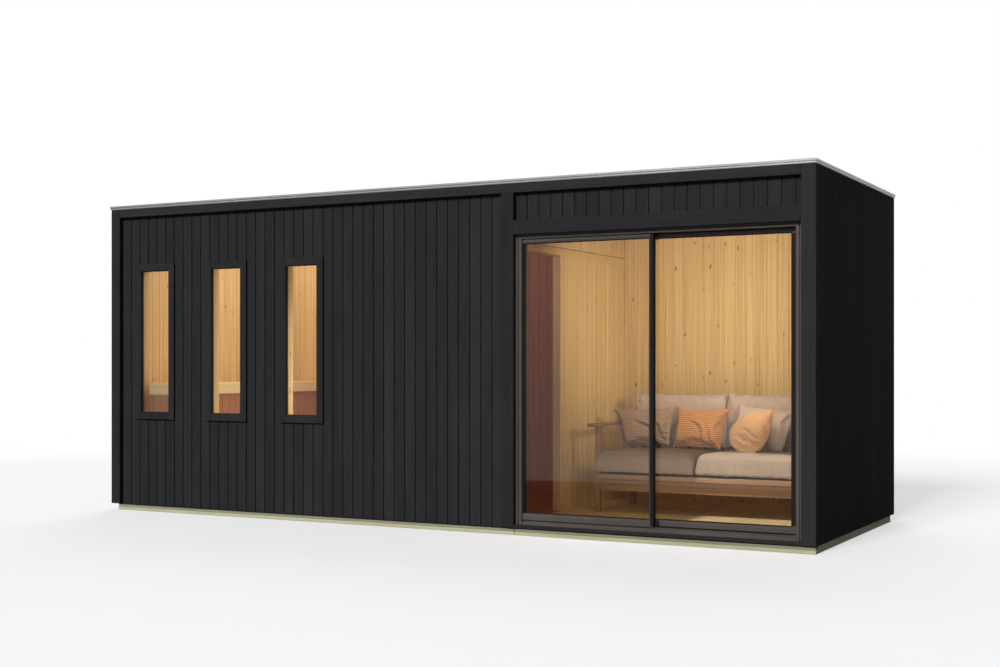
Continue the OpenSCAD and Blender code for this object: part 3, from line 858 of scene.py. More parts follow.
def wall_linings():
    """The pine on the walls of both rooms, and the darker boards behind the bench, whose red-brown is painted
    shade.
    """
    t = LINING_T
    lo, hi = room()
    door_lo, door_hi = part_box("door_frame")
    dark_lo, dark_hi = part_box("dark_lining")
    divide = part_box("partition_wall")[1].x
    front, back = (lo.y + t, lo.y), (hi.y - t, hi.y)
    for seed, name, across, low, high, depths, bottom, holes in (
            (101, "pine_back_lounge", "x", divide, hi.x, back, lo.z, ()),
            (102, "pine_right_end", "y", lo.y, hi.y - t, (hi.x - t, hi.x), lo.z, ()),
            (103, "pine_over_door", "x", door_lo.x, hi.x - t, front, door_hi.z, ()),
            (104, "pine_left_end", "y", lo.y, hi.y, (lo.x + t, lo.x), lo.z, ()),
            (105, "pine_back_sauna", "x", lo.x, dark_lo.x, back, lo.z, ()),
            (106, "pine_front_inside", "x", lo.x, door_lo.x, front, lo.z, window_holes())):
        m = Maker(seed)
        lining(m, across, low, high, *depths, bottom, hi.z, holes=holes)
        build(name, m, PINE)
    # the darker boards: their red-brown colour is painted shade
    m = Maker(107)
    lining(m, "x", dark_lo.x, dark_hi.x, dark_lo.y, dark_hi.y, lo.z, hi.z, DARK_PITCH)
    build("dark_boards_back", m, DARK_WOOD_PAINTED_SHADE, ["dark_lining"])


def both_faces(m, y0, y1, z0, z1, lo, hi):
    """Lining on both faces of a partition."""
    lining(m, "y", y0, y1, hi.x, hi.x - LINING_T, z0, z1, PARTITION_PITCH)
    lining(m, "y", y0, y1, lo.x, lo.x + LINING_T, z0, z1, PARTITION_PITCH)


def partition():
    lo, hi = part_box("partition_wall")
    x0, x1 = lo.x + LINING_T, hi.x - LINING_T
    end = lo.y + 0.019
    m = Maker(111)
    both_faces(m, lo.y + 0.004, hi.y, lo.z, hi.z, lo, hi)
    m.board((x0, end, lo.z), (x1, hi.y, hi.z), "z", 0.001)
    build("pine_partition", m, PINE, ["partition_wall"])
    m = Maker(116)
    m.board((x0, lo.y, lo.z), (x1, end, hi.z), "z", 0.001)
    build("pine_partition_end", m, PINE_END)
    m = Maker(112)
    m.board(*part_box("partition_rail"), "y", 0.0018)
    build("pine_partition_rail", m, PINE, ["partition_rail"])
    lo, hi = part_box("partition_top_panel")
    x0, x1 = lo.x + LINING_T, hi.x - LINING_T
    foot = lo.z + 0.007
    m = Maker(113)
    both_faces(m, lo.y, hi.y, foot, hi.z, lo, hi)
    m.board((x0, lo.y, foot), (x1, hi.y, hi.z), "y", 0.001)
    m.board((lo.x + 0.020, lo.y, lo.z), (hi.x - 0.020, hi.y, foot), "y", 0.001)
    build("pine_partition_top", m, PINE, ["partition_top_panel"])


def ceiling():
    lo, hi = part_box("ceiling_boards")
    m = Maker(114)
    count = round((hi.y - lo.y) / LINING_PITCH)
    step = (hi.y - lo.y) / count
    for i in range(count):
        a, b = lo.y + i * step, lo.y + (i + 1) * step
        m.sweep(lining_outline(a, b, lo.z, hi.z, 0.0024, 0.0), "x", lo.x, hi.x)
    build("pine_ceiling_boards", m, CEILING_PINE, ["ceiling_boards"])


def floor_planks():
    """Planks from front to back, in lengths with staggered ends, on top of the deck."""
    lo, hi = room()
    door_lo, door_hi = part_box("door_frame")
    part_lo, part_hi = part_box("partition_wall")
    start = part_hi.x + 0.175 - 6 * PLANK_W
    under, top = lo.z - 0.004, lo.z + 0.0012
    near, far = Maker(121), Maker(122)
    inner = [start + i * PLANK_W for i in range(-24, 24)]
    marks = [lo.x] + [v for v in inner if lo.x + 0.03 < v < hi.x - 0.03] + [hi.x]
    gap, butt = 0.0007, 0.0004
    for i, (a, b) in enumerate(zip(marks[:-1], marks[1:])):
        y0 = door_hi.y if (a + b) / 2 > door_lo.x else lo.y
        joint = y0 + (hi.y - y0) * (0.35 + 0.32 * ((i * 5) % 3) / 2 + 0.05 * near.random.random())
        planks = near if a > part_lo.x - 0.02 else far
        for p, q in ((y0, joint - butt), (joint + butt, hi.y)):
            planks.board((a + gap, p, under), (b - gap, q, top), "y", 0.0009)
    build("floor_planks_lounge", near, FLOOR)
    # the planks beyond the partition in the darker copy: painted shade
    build("floor_planks_beyond", far, FLOOR_PAINTED_SHADE)


def bench():
    lo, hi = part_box("bench_top")
    under = hi.z - 0.026
    count = 5
    gap = 0.008
    step = (hi.x - lo.x + gap) / count
    m = Maker(131)
    for i in range(count):
        x = lo.x + i * step
        m.bar((x, lo.y, under), (x + step - gap, hi.y, hi.z), "y", 0.005)
    for y in (lo.y + 0.272, (lo.y + hi.y) / 2, hi.y - 0.312):
        m.board((lo.x, y, lo.z), (hi.x, y + 0.040, under), "x", 0.002)
    build("bench_slats", m, BENCH, ["bench_top"])
    lo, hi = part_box("bench_frame")
    t = 0.028
    m = Maker(132)
    m.bar((hi.x - t, lo.y, lo.z), hi, "y", 0.005)
    m.board(lo, (hi.x - t, lo.y + t, hi.z), "x", 0.002)
    m.board((lo.x, hi.y - t, lo.z), (hi.x - t, hi.y, hi.z), "x", 0.002)
    build("bench_front_board", m, BENCH, ["bench_frame"])
    lo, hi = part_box("bench_skirt")
    t = 0.018
    m = Maker(133)
    lining(m, "y", lo.y, hi.y, hi.x, hi.x - t, lo.z, hi.z, DARK_PITCH)
    lining(m, "x", lo.x, hi.x - t, lo.y + t, lo.y, lo.z, hi.z, DARK_PITCH)
    # the skirt in the darker red-brown wood: painted shade under the bench
    build("bench_skirt_boards", m, SKIRT_PAINTED_SHADE, ["bench_skirt"])


def hidden_solids():
    """Materials for the solids that stay behind the boards, and for the glass."""
    kinds = {
        CORE: ("front_wall_left", "front_wall_over_door", "left_end_wall", "right_end_wall", "back_wall",
               "roof_deck"),
        DECK: ("floor_deck",),
        GLASS: ("window_glass_1", "window_glass_2", "window_glass_3", "fixed_leaf_glass",
                "sliding_leaf_glass"),
    }
    for material, names in kinds.items():
        for name in names:
            materials = frame["nodes"][name].data.materials
            materials.clear()
            materials.append(material)


# ---------------------------------------------------------------- sofa frame

def sofa_frame():
    lo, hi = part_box("sofa_seat_frame")
    top = hi.z
    rail_t = 0.028
    leg_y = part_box("sofa_left_side")[0].y + 0.035
    inner = leg_y + rail_t
    m = Maker(141)
    m.bar((lo.x, lo.y, top - 0.051), (hi.x, inner, top - 0.015), "x", 0.007)
    m.bar((lo.x, leg_y + 0.006, top - 0.142), (hi.x, inner, top - 0.050), "x", 0.005)
    m.bar((lo.x, hi.y - rail_t, top - 0.110), (hi.x, hi.y, top - 0.015), "x", 0.005)
    count = 9
    step = (hi.x - lo.x) / count
    for i in range(count):
        x = lo.x + (i + 0.5) * step
        m.board((x - 0.035, leg_y + 0.060, top - 0.0155), (x + 0.035, hi.y - 0.004, top), "y", 0.002)
    build("sofa_rails_and_slats", m, OAK, ["sofa_seat_frame"])
    # a near-black strip behind the gap between cushions and rail: painted shadow
    m = Maker(145)
    m.board((lo.x + 0.001, leg_y + 0.004, top - 0.0145),
            (hi.x - 0.001, leg_y + 0.024, top - 0.0005), "x", 0.0005)
    build("sofa_painted_shadow_edge", m, SHADE_BOARD)
    sofa_side("left", lo.x, -1, 142)
    sofa_side("right", hi.x, 1, 143)
    sofa_back(lo, hi)


def arm_outline(inner, s, y0, y1):
    """The paddle shape of an arm, seen from above."""
    wide = (inner - s * 0.010, inner + s * 0.092)
    slim = (inner + s * 0.030, inner + s * 0.086)
    corners = [(wide[0], y0), (wide[1], y0), (wide[1], y0 + 0.07), (slim[1], y0 + 0.27), (slim[1], y1),
               (slim[0], y1), (slim[0], y0 + 0.27), (wide[0], y0 + 0.07)]
    reach = [0.016, 0.016, 0.03, 0.06, 0.016, 0.016, 0.06, 0.03]
    if s < 0:
        corners, reach = corners[::-1], reach[::-1]
    outline = []
    for i, at in enumerate(corners):
        outline += round_corner(corners[i - 1], at, corners[(i + 1) % len(corners)], reach[i], 4)
    return outline


def sofa_side(name, inner, s, seed):
    """Front leg, raked rear leg and paddle-shaped arm. s is -1 for the left side and 1 for the right."""
    lo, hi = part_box(f"sofa_{name}_side")
    leg, arm_t, r = 0.042, 0.026, 0.007
    x0, x1 = (inner, inner + leg) if s > 0 else (inner - leg, inner)
    y = lo.y + 0.035
    rear = y + 0.645
    m = Maker(seed)
    foot = rounded(x0 + 0.002, y + 0.002, x1 - 0.002, y + leg - 0.002, r)
    shaft = rounded(x0, y, x1, y + leg, r)
    m.loft("z", (foot, lo.z), (shaft, lo.z + 0.20), (shaft, hi.z - arm_t + 0.001))
    m.loft("z", (rounded(x0, rear + 0.045, x1, rear + 0.080, r), lo.z),
           (rounded(x0, rear, x1, rear + leg, r), 0.392),
           (rounded(x0, rear + 0.090, x1, rear + 0.125, r), hi.z - 0.001))
    outline = arm_outline(inner, s, lo.y, hi.y)
    centre = [sum(values) / len(outline) for values in zip(*outline)]

    def shrunk(d):
        points = []
        for p in outline:
            points.append([v - math.copysign(min(d, abs(v - c)), v - c) for v, c in zip(p, centre)])
        return points

    top, low = hi.z, hi.z - arm_t
    m.loft("z", (shrunk(0.006), low), (shrunk(0.002), low + 0.002), (shrunk(0.0), low + 0.007),
           (shrunk(0.0), top - 0.007), (shrunk(0.002), top - 0.002), (shrunk(0.006), top))
    build(f"sofa_{name}_side_wood", m, OAK, [f"sofa_{name}_side"], smooth=40)


def round_corner(before, at, after, r, steps):
    """Points of a curve that cuts a corner, from the side it comes from to the side it goes to."""
    def toward(q):
        d = math.dist(at, q)
        return [a + r * (b - a) / d for a, b in zip(at, q)]

    start, end = toward(before), toward(after)
    points = []
    for i in range(steps + 1):
        t = i / steps
        weights = ((1 - t) ** 2, 2 * t * (1 - t), t * t)
        points.append([sum(w * v for w, v in zip(weights, values)) for values in zip(start, at, end)])
    return points


def sofa_back(lo, hi):
    """Top rail and slats behind the back cushions, between the raked rear legs."""
    lean = math.tan(SOFA_LEAN)
    base_z, top_z = 0.400, 0.735
    y_low = hi.y + 0.016
    count = 12
    step = (hi.x - lo.x) / count
    m = Maker(144)
    for i in range(count):
        x = lo.x + (i + 0.5) * step
        outlines = []
        for z in (base_z, top_z - 0.02):
            y = y_low + (z - base_z) * lean
            outlines.append((rounded(x - 0.020, y, x + 0.020, y + 0.010, 0.003), z))
        m.loft("z", *outlines)
    y_top = y_low + (top_z - base_z) * lean
    m.bar((lo.x, y_top - 0.008, top_z - 0.045), (hi.x, y_top + 0.018, top_z), "x", 0.006)
    m.bar((lo.x, y_low - 0.010, base_z - 0.015), (hi.x, y_low + 0.016, base_z + 0.02), "x", 0.005)
    build("sofa_back_slats", m, OAK)


# ---------------------------------------------------------------- cushions and pillows

def rounded_box_grid(size, r, low_r, cell):
    """A closed grid over a box on z = 0: edges rounded by r at the top and by low_r at the bottom."""
    counts = [max(2, round(s / cell)) for s in size]
    index = {}
    points = []
    faces = []

    def vertex(i, j, k):
        key = (i, j, k)
        if key not in index:
            index[key] = len(points)
            points.append([size[0] * i / counts[0], size[1] * j / counts[1], size[2] * k / counts[2]])
        return index[key]

    turns = ((0, 0), (0, 1), (1, 1), (1, 0))
    for fixed, a, b in ((2, 0, 1), (1, 0, 2), (0, 1, 2)):
        for p, q in itertools.product(range(counts[a]), range(counts[b])):
            for level in (0, counts[fixed]):
                outward = turns if (level == 0) != (fixed == 1) else (turns[0], *turns[:0:-1])
                face = []
                for dp, dq in outward:
                    at = [level] * 3
                    at[a], at[b] = p + dp, q + dq
                    face.append(vertex(*at))
                faces.append(tuple(face))
    grid = np.array(points)
    box = np.array(size)
    up = np.clip((grid[:, 2:] / size[2] - 0.25) / 0.5, 0, 1)
    rise = up * np.clip((0.96 - grid[:, 1:2] / size[1]) / 0.2, 0, 1)
    radius = low_r + (r - low_r) * rise * rise * (3 - 2 * rise)
    inner = np.clip(grid, radius, box - radius)
    away = grid - inner
    length = np.linalg.norm(away, axis=1, keepdims=True)
    rounded_points = np.where(length > 1e-9, inner + away / np.maximum(length, 1e-9) * radius, grid)
    return rounded_points, faces, index, counts


def mesh_object(name, points, faces):
    mesh = bpy.data.meshes.new(name)
    mesh.from_pydata([tuple(p) for p in points], [], faces)
    mesh.update()
    made = bpy.data.objects.new(name, mesh)
    bpy.context.scene.collection.objects.link(made)
    return made


def inflate(made, pressure, reach, frames=20, stiffness=15.0, bending=0.5):
    """Swells a closed mesh with Cloth and pressure; no point moves further than reach."""
    start = np.array([v.co for v in made.data.vertices], float)
    cloth = made.modifiers.new("swell", "CLOTH")
    settings = cloth.settings
    settings.use_pressure = True
    settings.uniform_pressure_force = pressure
    settings.quality = 6
    settings.mass = 0.3
    settings.tension_stiffness = stiffness
    settings.compression_stiffness = stiffness
    settings.shear_stiffness = stiffness * 0.5
    settings.bending_stiffness = bending
    settings.effector_weights.gravity = 0.0
    cloth.point_cache.frame_start = 1
    cloth.point_cache.frame_end = frames
    scene = bpy.context.scene
    for f in range(1, frames + 1):
        scene.frame_set(f)
    graph = bpy.context.evaluated_depsgraph_get()
    shape = made.evaluated_get(graph)
    end = np.array([v.co for v in shape.data.vertices], float)
    made.modifiers.clear()
    scene.frame_set(1)
    move = end - start
    far = np.linalg.norm(move, axis=1, keepdims=True)
    far = np.maximum(far, 1e-9)
    return start + move * np.minimum(1.0, reach / far)


def subdivide(made):
    modifier = made.modifiers.new("smooth", "SUBSURF")
    modifier.levels = modifier.render_levels = 1
    graph = bpy.context.evaluated_depsgraph_get()
    old = made.data
    made.data = bpy.data.meshes.new_from_object(made.evaluated_get(graph))
    made.modifiers.clear()
    bpy.data.meshes.remove(old)


def wave_noise(points, seed, scale, count=26):
    """Smooth noise made of seeded waves, for wrinkles: about -1 to 1."""
    chance = np.random.RandomState(seed)
    total = np.zeros(len(points))
    for _ in range(count):
        direction = chance.normal(size=3) * np.array(scale)
        total += np.sin(points @ direction + chance.uniform(0, math.tau))
    return total / math.sqrt(count / 2.0)


def vertex_normals(mesh):
    normals = np.zeros(len(mesh.vertices) * 3)
    mesh.vertices.foreach_get("normal", normals)
    return normals.reshape(-1, 3)


def tube(path, r, sides=6):
    """Vertices and faces of a thin tube along a closed path of points."""
    count = len(path)
    points = []
    faces = []
    for i in range(count):
        j = (i + 1) % count
        ahead = path[j] - path[i - 1]
        ahead = ahead / max(np.linalg.norm(ahead), 1e-9)
        side = np.cross(ahead, (0.0, 0.0, 1.0))
        if np.linalg.norm(side) < 0.2:
            side = np.cross(ahead, (0.0, 1.0, 0.0))
        side = side / np.linalg.norm(side)
        up = np.cross(side, ahead)
        for k in range(sides):
            angle = math.tau * k / sides
            n = (k + 1) % sides
            points.append(path[i] + r * (math.cos(angle) * side + math.sin(angle) * up))
            faces.append((i * sides + k, j * sides + k, j * sides + n, i * sides + n))
    return points, faces


def grid_loop(index, counts, level):
    """Vertices round the box at one height, in order."""
    nx, ny, _ = counts
    loop = [index[(i, 0, level)] for i in range(nx)]
    loop += [index[(nx, j, level)] for j in range(ny)]
    loop += [index[(i, ny, level)] for i in range(nx, 0, -1)]
    loop += [index[(0, j, level)] for j in range(ny, 0, -1)]
    return loop


def smooth_path(points, passes=2):
    for _ in range(passes):
        points = 0.5 * points + 0.25 * (np.roll(points, 1, axis=0) + np.roll(points, -1, axis=0))
    return points


def fill_box(points, size, low):
    """Scales swelled points to just fill a box; low is the height that lands on its underside."""
    start = points.min(axis=0)
    start[2] = low
    margin = 0.001
    points = (points - start) * (np.array(size) - 2 * margin) / (points.max(axis=0) - start)
    points[:, 2] = np.maximum(points[:, 2], 0.0)
    return points + margin


def placed(name, place, points, faces, coordinates):
    """A smooth mesh set at its place; its cloth attribute keeps the coordinates from before."""
    world = points @ np.array(place.to_3x3()).T + np.array(place.translation)
    mesh = bpy.data.meshes.new(name)
    mesh.from_pydata([tuple(p) for p in world], [], faces)
    add_values(mesh, "cloth", "FLOAT_VECTOR", coordinates, "vector")
    mesh.shade_smooth()
    mesh.update()
    return mesh


def box_cushion(name, size, r, low_r, place, seam_levels, wrinkles, seed, shape):
    """A filled box cushion: swelled by Cloth, wrinkled near its edges, with a welt along its seams."""
    inset = 0.010
    points, faces, index, counts = rounded_box_grid([s - 2 * inset for s in size], r, low_r, 0.012)
    made = mesh_object(name, points, faces)
    swelled = inflate(made, 4.0, 0.022)
    points = points + (swelled - points) * np.array((0.4, 1.0, 1.0))
    points = shape(fill_box(points, size, 0.002))
    made.data.vertices.foreach_set("co", points.ravel())
    made.data.update()
    loops = [smooth_path(points[grid_loop(index, counts, level % counts[2])]) for level in seam_levels]
    subdivide(made)
    co = np.array([v.co for v in made.data.vertices], float)
    co = co + vertex_normals(made.data) * wrinkles(co, seed)[:, None]
    all_faces = [tuple(p.vertices) for p in made.data.polygons]
    for loop in loops:
        welt, welt_faces = tube(loop, 0.0021)
        all_faces += [tuple(v + len(co) for v in f) for f in welt_faces]
        co = np.concatenate([co, welt])
    bpy.data.objects.remove(made)
    mesh = placed(name, place, co, all_faces, co)
    made = link_object(name, mesh, SEAT_FABRIC, "cabin", [name.removeprefix("sofa_")])


def seat_shape(size, outer):
    """A crowned seat whose front corner at the outer end swells past the leg. outer is -1 or 1 along x."""
    crown = 0.012
    hollow = 0.008
    swell = 0.034

    def shape(points):
        points = points.copy()
        u = points[:, 0] / size[0] * 2 - 1
        v = points[:, 1] / size[1] * 2 - 1
        top = np.clip(points[:, 2] / size[2] * 2 - 1, 0, 1)
        points[:, 2] += crown * top * np.clip((1 - u ** 2) * (1 - ((v + 0.3) / 1.3) ** 2), 0, 1) ** 0.7
        behind = np.clip((v - 0.10) / 0.3, 0, 1)
        points[:, 2] -= hollow * top * behind * np.clip((1 - u ** 2) * (0.97 - v) / 0.2, 0, 1)
        from_end = (1 - outer * u) * size[0] / 2
        before_leg = np.clip((0.054 - points[:, 1]) / 0.024, 0, 1)
        points[:, 0] += outer * swell * before_leg * np.clip(1 - from_end / 0.15, 0, 1)
        return points

    return shape


def back_shape(size):
    """The upper half of a back cushion stands a little to the left, where it is clear of the arms."""

    def shape(points):
        points = points.copy()
        rise = np.clip((points[:, 2] - 0.05) / (size[2] * 0.55), 0, 1)
        points[:, 0] -= 0.018 * rise * rise * (3 - 2 * rise)
        low = np.clip(1 - points[:, 2] / 0.045, 0, 1)
        front = np.clip(1 - points[:, 1] / 0.06, 0, 1)
        points[:, 1] -= 0.016 * low * front
        points[:, 2] = np.maximum(points[:, 2] - 0.016 * low, 0.0005)
        return points

    return shape


def seat_wrinkles(size):
    def height(co, seed):
        front = np.exp(-((co[:, 1]) / 0.045) ** 2)
        low = np.exp(-((co[:, 2] - 0.026) / 0.042) ** 2)
        gathers = wave_noise(co, seed, (230.0, 4.0, 14.0)) * 0.0032 * front * low
        corner = np.minimum(co[:, 0], size[0] - co[:, 0])
        pulls = wave_noise(co, seed + 1, (26.0, 20.0, 30.0)) * 0.0016 * np.exp(-(corner / 0.10) ** 2)
        dents = wave_noise(co, seed + 2, (9.0, 9.0, 12.0)) * 0.0016
        return gathers + pulls + dents
    return height


def back_wrinkles(size):
    def height(co, seed):
        top = np.exp(-((size[2] - co[:, 2]) / 0.060) ** 2)
        side = np.minimum(co[:, 0], size[0] - co[:, 0])
        near = np.exp(-(side / 0.070) ** 2)
        crumple = wave_noise(co, seed, (60.0, 50.0, 34.0)) * 0.0040 * np.maximum(top, near)
        small = wave_noise(co, seed + 1, (130.0, 100.0, 70.0)) * 0.0020 * np.maximum(top, 0.6 * near)
        dents = wave_noise(co, seed + 2, (11.0, 9.0, 9.0)) * 0.0020
        return crumple + small + dents
    return height


def sofa_cushions():
    for side, outer, seed in (("left", -1, 201), ("right", 1, 202)):
        lo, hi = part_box(f"seat_cushion_{side}")
        size = tuple(hi - lo)
        box_cushion(f"sofa_seat_cushion_{side}", size, 0.046, 0.018, Matrix.Translation(lo), (-2, 2),
                    seat_wrinkles(size), seed, seat_shape(size, outer))
    thick = 0.165
    for side, seed in (("left", 211), ("right", 212)):
        lo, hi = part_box(f"back_cushion_{side}")
        size = (hi.x - lo.x, thick, hi.z - lo.z)
        place = Matrix.Translation(lo)
        place[1][2] = math.tan(SOFA_LEAN)
        box_cushion(f"sofa_back_cushion_{side}", size, 0.024, 0.014, place, (),
                    back_wrinkles(size), seed, back_shape(size))


def upsample(grid, times):
    """Catmull-Rom through a grid of points, along its first axis."""
    n = len(grid)
    padded = np.concatenate([grid[:1], grid, grid[-1:]])
    rows = []
    for i in range(n - 1):
        p0, p1, p2, p3 = padded[i], padded[i + 1], padded[i + 2], padded[i + 3]
        for k in range(times):
            t = k / times
            rows.append(0.5 * (2 * p1 + (p2 - p0) * t + (2 * p0 - 5 * p1 + 4 * p2 - p3) * t * t
                               + (3 * p1 - p0 - 3 * p2 + p3) * t ** 3))
    rows.append(grid[-1])
    return np.array(rows)


def finer(grid, times):
    return upsample(upsample(grid, times).transpose(1, 0, 2), times).transpose(1, 0, 2)


def tucked_outline(u, v, half_l, half_w, tip):
    """Maps a square onto an oval that is drawn out to a corner at its far end."""
    share = np.maximum(np.abs(u), np.abs(v))
    angle = np.arctan2(v, u)
    power = 2.3
    oval = (np.abs(np.cos(angle) / half_l) ** power + np.abs(np.sin(angle) / half_w) ** power) ** (-1 / power)
    reach = oval + tip * np.exp(-(np.abs(angle) / 0.32) ** 1.5)
    return share * reach * np.cos(angle), share * reach * np.sin(angle)


def same_span(swelled, start):
    """Scales a swelled pillow back to the width and height that it had."""
    points = swelled.copy()
    for axis in (0, 1):
        low, high = swelled[:, axis].min(), swelled[:, axis].max()
        aim_low, aim_high = start[:, axis].min(), start[:, axis].max()
        points[:, axis] = aim_low + (swelled[:, axis] - low) / (high - low) * (aim_high - aim_low)
    return points


def square(nu, nv):
    """Two grids from -1 to 1, one across and one up."""
    u = np.linspace(-1, 1, nu + 1)[:, None] * np.ones((1, nv + 1))
    v = np.ones((nu + 1, 1)) * np.linspace(-1, 1, nv + 1)[None, :]
    return u, v


def pillow_sheets(w, h, t, nu, nv, spread, tucked, droop):
    """The two faces of a pillow as grids that share their edge: fat in the middle, drawn in at the sides."""
    u, v = square(nu, nv)
    if tucked:
        x, y = tucked_outline(u, v, w / 2, h / 2, tucked)
        share = np.maximum(np.abs(u), np.abs(v))
        fat = np.clip(1 - share ** 2, 0, 1)
    else:
        drawn_in = 1 - droop * np.abs(u) ** 3 * np.clip(-v, 0, 1) ** 3
        x = u * w / 2 * (1 - 0.030 * (1 - v ** 2)) * (1 + spread * v) * drawn_in
        y = v * h / 2 * (1 - (0.010 + 0.050 * v) * (1 - u ** 2)) * drawn_in
        fat = np.clip((1 - u ** 2) * (1 - v ** 2), 0, 1)
    fat = fat ** 0.55 * t / 2
    return np.stack([x, y, fat], axis=2), np.stack([x, y, -fat], axis=2)


def sheet_mesh(front, back, nu, nv):
    """One closed mesh from two grids with a shared edge, and the index of each grid point in it."""
    number = {}
    points = []
    grids = []
    for side, grid in enumerate((front, back)):
        ids = np.zeros((nu + 1, nv + 1), int)
        for i in range(nu + 1):
            for j in range(nv + 1):
                edge = i in (0, nu) or j in (0, nv)
                key = (i, j) if edge else (i, j, side)
                if key not in number:
                    number[key] = len(points)
                    points.append(grid[i, j])
                ids[i, j] = number[key]
        grids.append(ids)
    faces = []
    for side, ids in enumerate(grids):
        for i in range(nu):
            for j in range(nv):
                face = (ids[i, j], ids[i + 1, j], ids[i + 1, j + 1], ids[i, j + 1])
                faces.append(tuple(int(v) for v in (face if side == 0 else face[::-1])))
    return points, faces, grids


def fold_height(u, v, folds):
    """Creases along lines from (u0, v0) to (u1, v1), each with a width and a depth."""
    total = np.zeros_like(u)
    for u0, v0, u1, v1, width, depth in folds:
        du, dv = u1 - u0, v1 - v0
        length = math.hypot(du, dv)
        along = ((u - u0) * du + (v - v0) * dv) / length
        off = ((u - u0) * dv - (v - v0) * du) / length
        fade = np.clip(along / (0.25 * length), 0, 1) * np.clip((length - along) / (0.25 * length), 0, 1)
        bend = off + 0.10 * np.sin(along * 5.0)
        bulge = 0.7 * np.exp(-((bend - 1.9 * width) / width) ** 2)
        total += fade * depth * (bulge - np.exp(-(bend / width) ** 2))
    return total


def ribbing(flat, u, seed, pitch, turn, sides):
    """Ribs as a height from 0 to 1, and how far each place is in the smooth bands at the two sides."""
    across = flat[:, :, 0] * math.sin(turn) + flat[:, :, 1] * math.cos(turn)
    rib = np.abs(np.sin(math.pi * across / pitch + 0.35 * np.sin(u * 3.0 + seed)))
    smooth = np.clip((np.abs(u) - 1 + sides) / 0.05, 0, 1)
    return rib * (1 - smooth) + 0.8 * smooth, smooth


def surface_normals(grid, side):
    normal = np.cross(np.gradient(grid, axis=0), np.gradient(grid, axis=1))
    normal = normal / np.maximum(np.linalg.norm(normal, axis=2, keepdims=True), 1e-9)
    return -normal if side else normal


def pillow_relief(flat, u, v, seed, side, ribs, folds):
    """How far each place on one face stands out, and its height on the ribs."""
    edge = np.minimum(1 - np.abs(u), 1 - np.abs(v))
    inner = np.clip(edge / 0.06, 0, 1)
    out, rib = np.zeros_like(u), np.ones_like(u)
    if ribs[0]:
        rib, smooth = ribbing(flat, u, seed, *ribs)
        out += RIB_HEIGHT * (rib ** 0.6 - 0.6) * inner * (1 - smooth)
    if side == 0:
        out += fold_height(u, v, folds) * inner
    waves = wave_noise(flat.reshape(-1, 3), seed + side, (28.0, 34.0, 3.0)).reshape(u.shape)
    near = np.exp(-(edge / 0.22) ** 2)
    out += waves * (0.0010 + 0.0030 * near) * np.clip(edge / 0.10, 0, 1)
    return out, rib


def throw_pillow(name, node, size, place, material, seed, rib_pitch=0.0, folds=(), spread=0.0,
                 sides=0.0, tucked=0.0, rib_turn=0.0, droop=0.0):
    """A sewn pillow: two sheets swelled by Cloth, then ribs, folds and small wrinkles."""
    w, h, t = size
    nu, nv, times = 40, 32, 4
    sheets = pillow_sheets(w, h, t * 0.80, nu, nv, spread, tucked, droop)
    plane = finer(sheets[0], times)[:, :, :2]
    points, faces, grids = sheet_mesh(*sheets, nu, nv)
    made = mesh_object(name, points, faces)
    swelled = same_span(inflate(made, 5.0, 0.030, frames=18, stiffness=8.0, bending=0.2), np.array(points))
    bpy.data.objects.remove(made)
    rows, columns = nu * times, nv * times
    u, v = square(rows, columns)
    fine, flats, ribs = [], [], []
    for side, ids in enumerate(grids):
        grid = finer(swelled[ids], times)
        flat = np.stack([u * w / 2, v * h / 2, np.full_like(u, 0.3 * side)], axis=2)
        if tucked:
            flat[:, :, :2] = plane
        out, rib = pillow_relief(flat, u, v, seed, side, (rib_pitch, rib_turn, sides), folds)
        fine.append(grid + surface_normals(grid, side) * out[:, :, None])
        flats.append(flat)
        ribs.append(rib)
    points, faces, ids = sheet_mesh(*fine, rows, columns)
    coordinates = np.zeros((len(points), 3))
    rib = np.zeros(len(points))
    for side in (1, 0):
        coordinates[ids[side].ravel()] = flats[side].reshape(-1, 3)
        rib[ids[side].ravel()] = ribs[side].ravel()
    mesh = placed(name, place, np.array(points), faces, coordinates)
    add_values(mesh, "rib", "FLOAT", rib, "value")
    made = link_object(name, mesh, material, "cabin", [node])


def seat_place(x, y, turn, lean, lift, h, roll):
    """Where a pillow stands: its lower edge on the seat, turned, leaning back and rolled."""
    seat_lo, seat_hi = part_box("seat_cushion_left")
    sofa_middle = seat_hi.x + 0.004
    foot = Vector((sofa_middle + x, seat_lo.y + y, seat_hi.z + lift))
    upright = Matrix.Rotation(math.radians(roll), 4, "Y") @ Matrix.Rotation(math.radians(90), 4, "X")
    middle = Matrix.Translation(Vector((0, 0, h / 2)))
    return (Matrix.Translation(foot) @ Matrix.Rotation(math.radians(turn), 4, "Z")
            @ Matrix.Rotation(math.radians(-lean), 4, "X") @ middle @ upright)


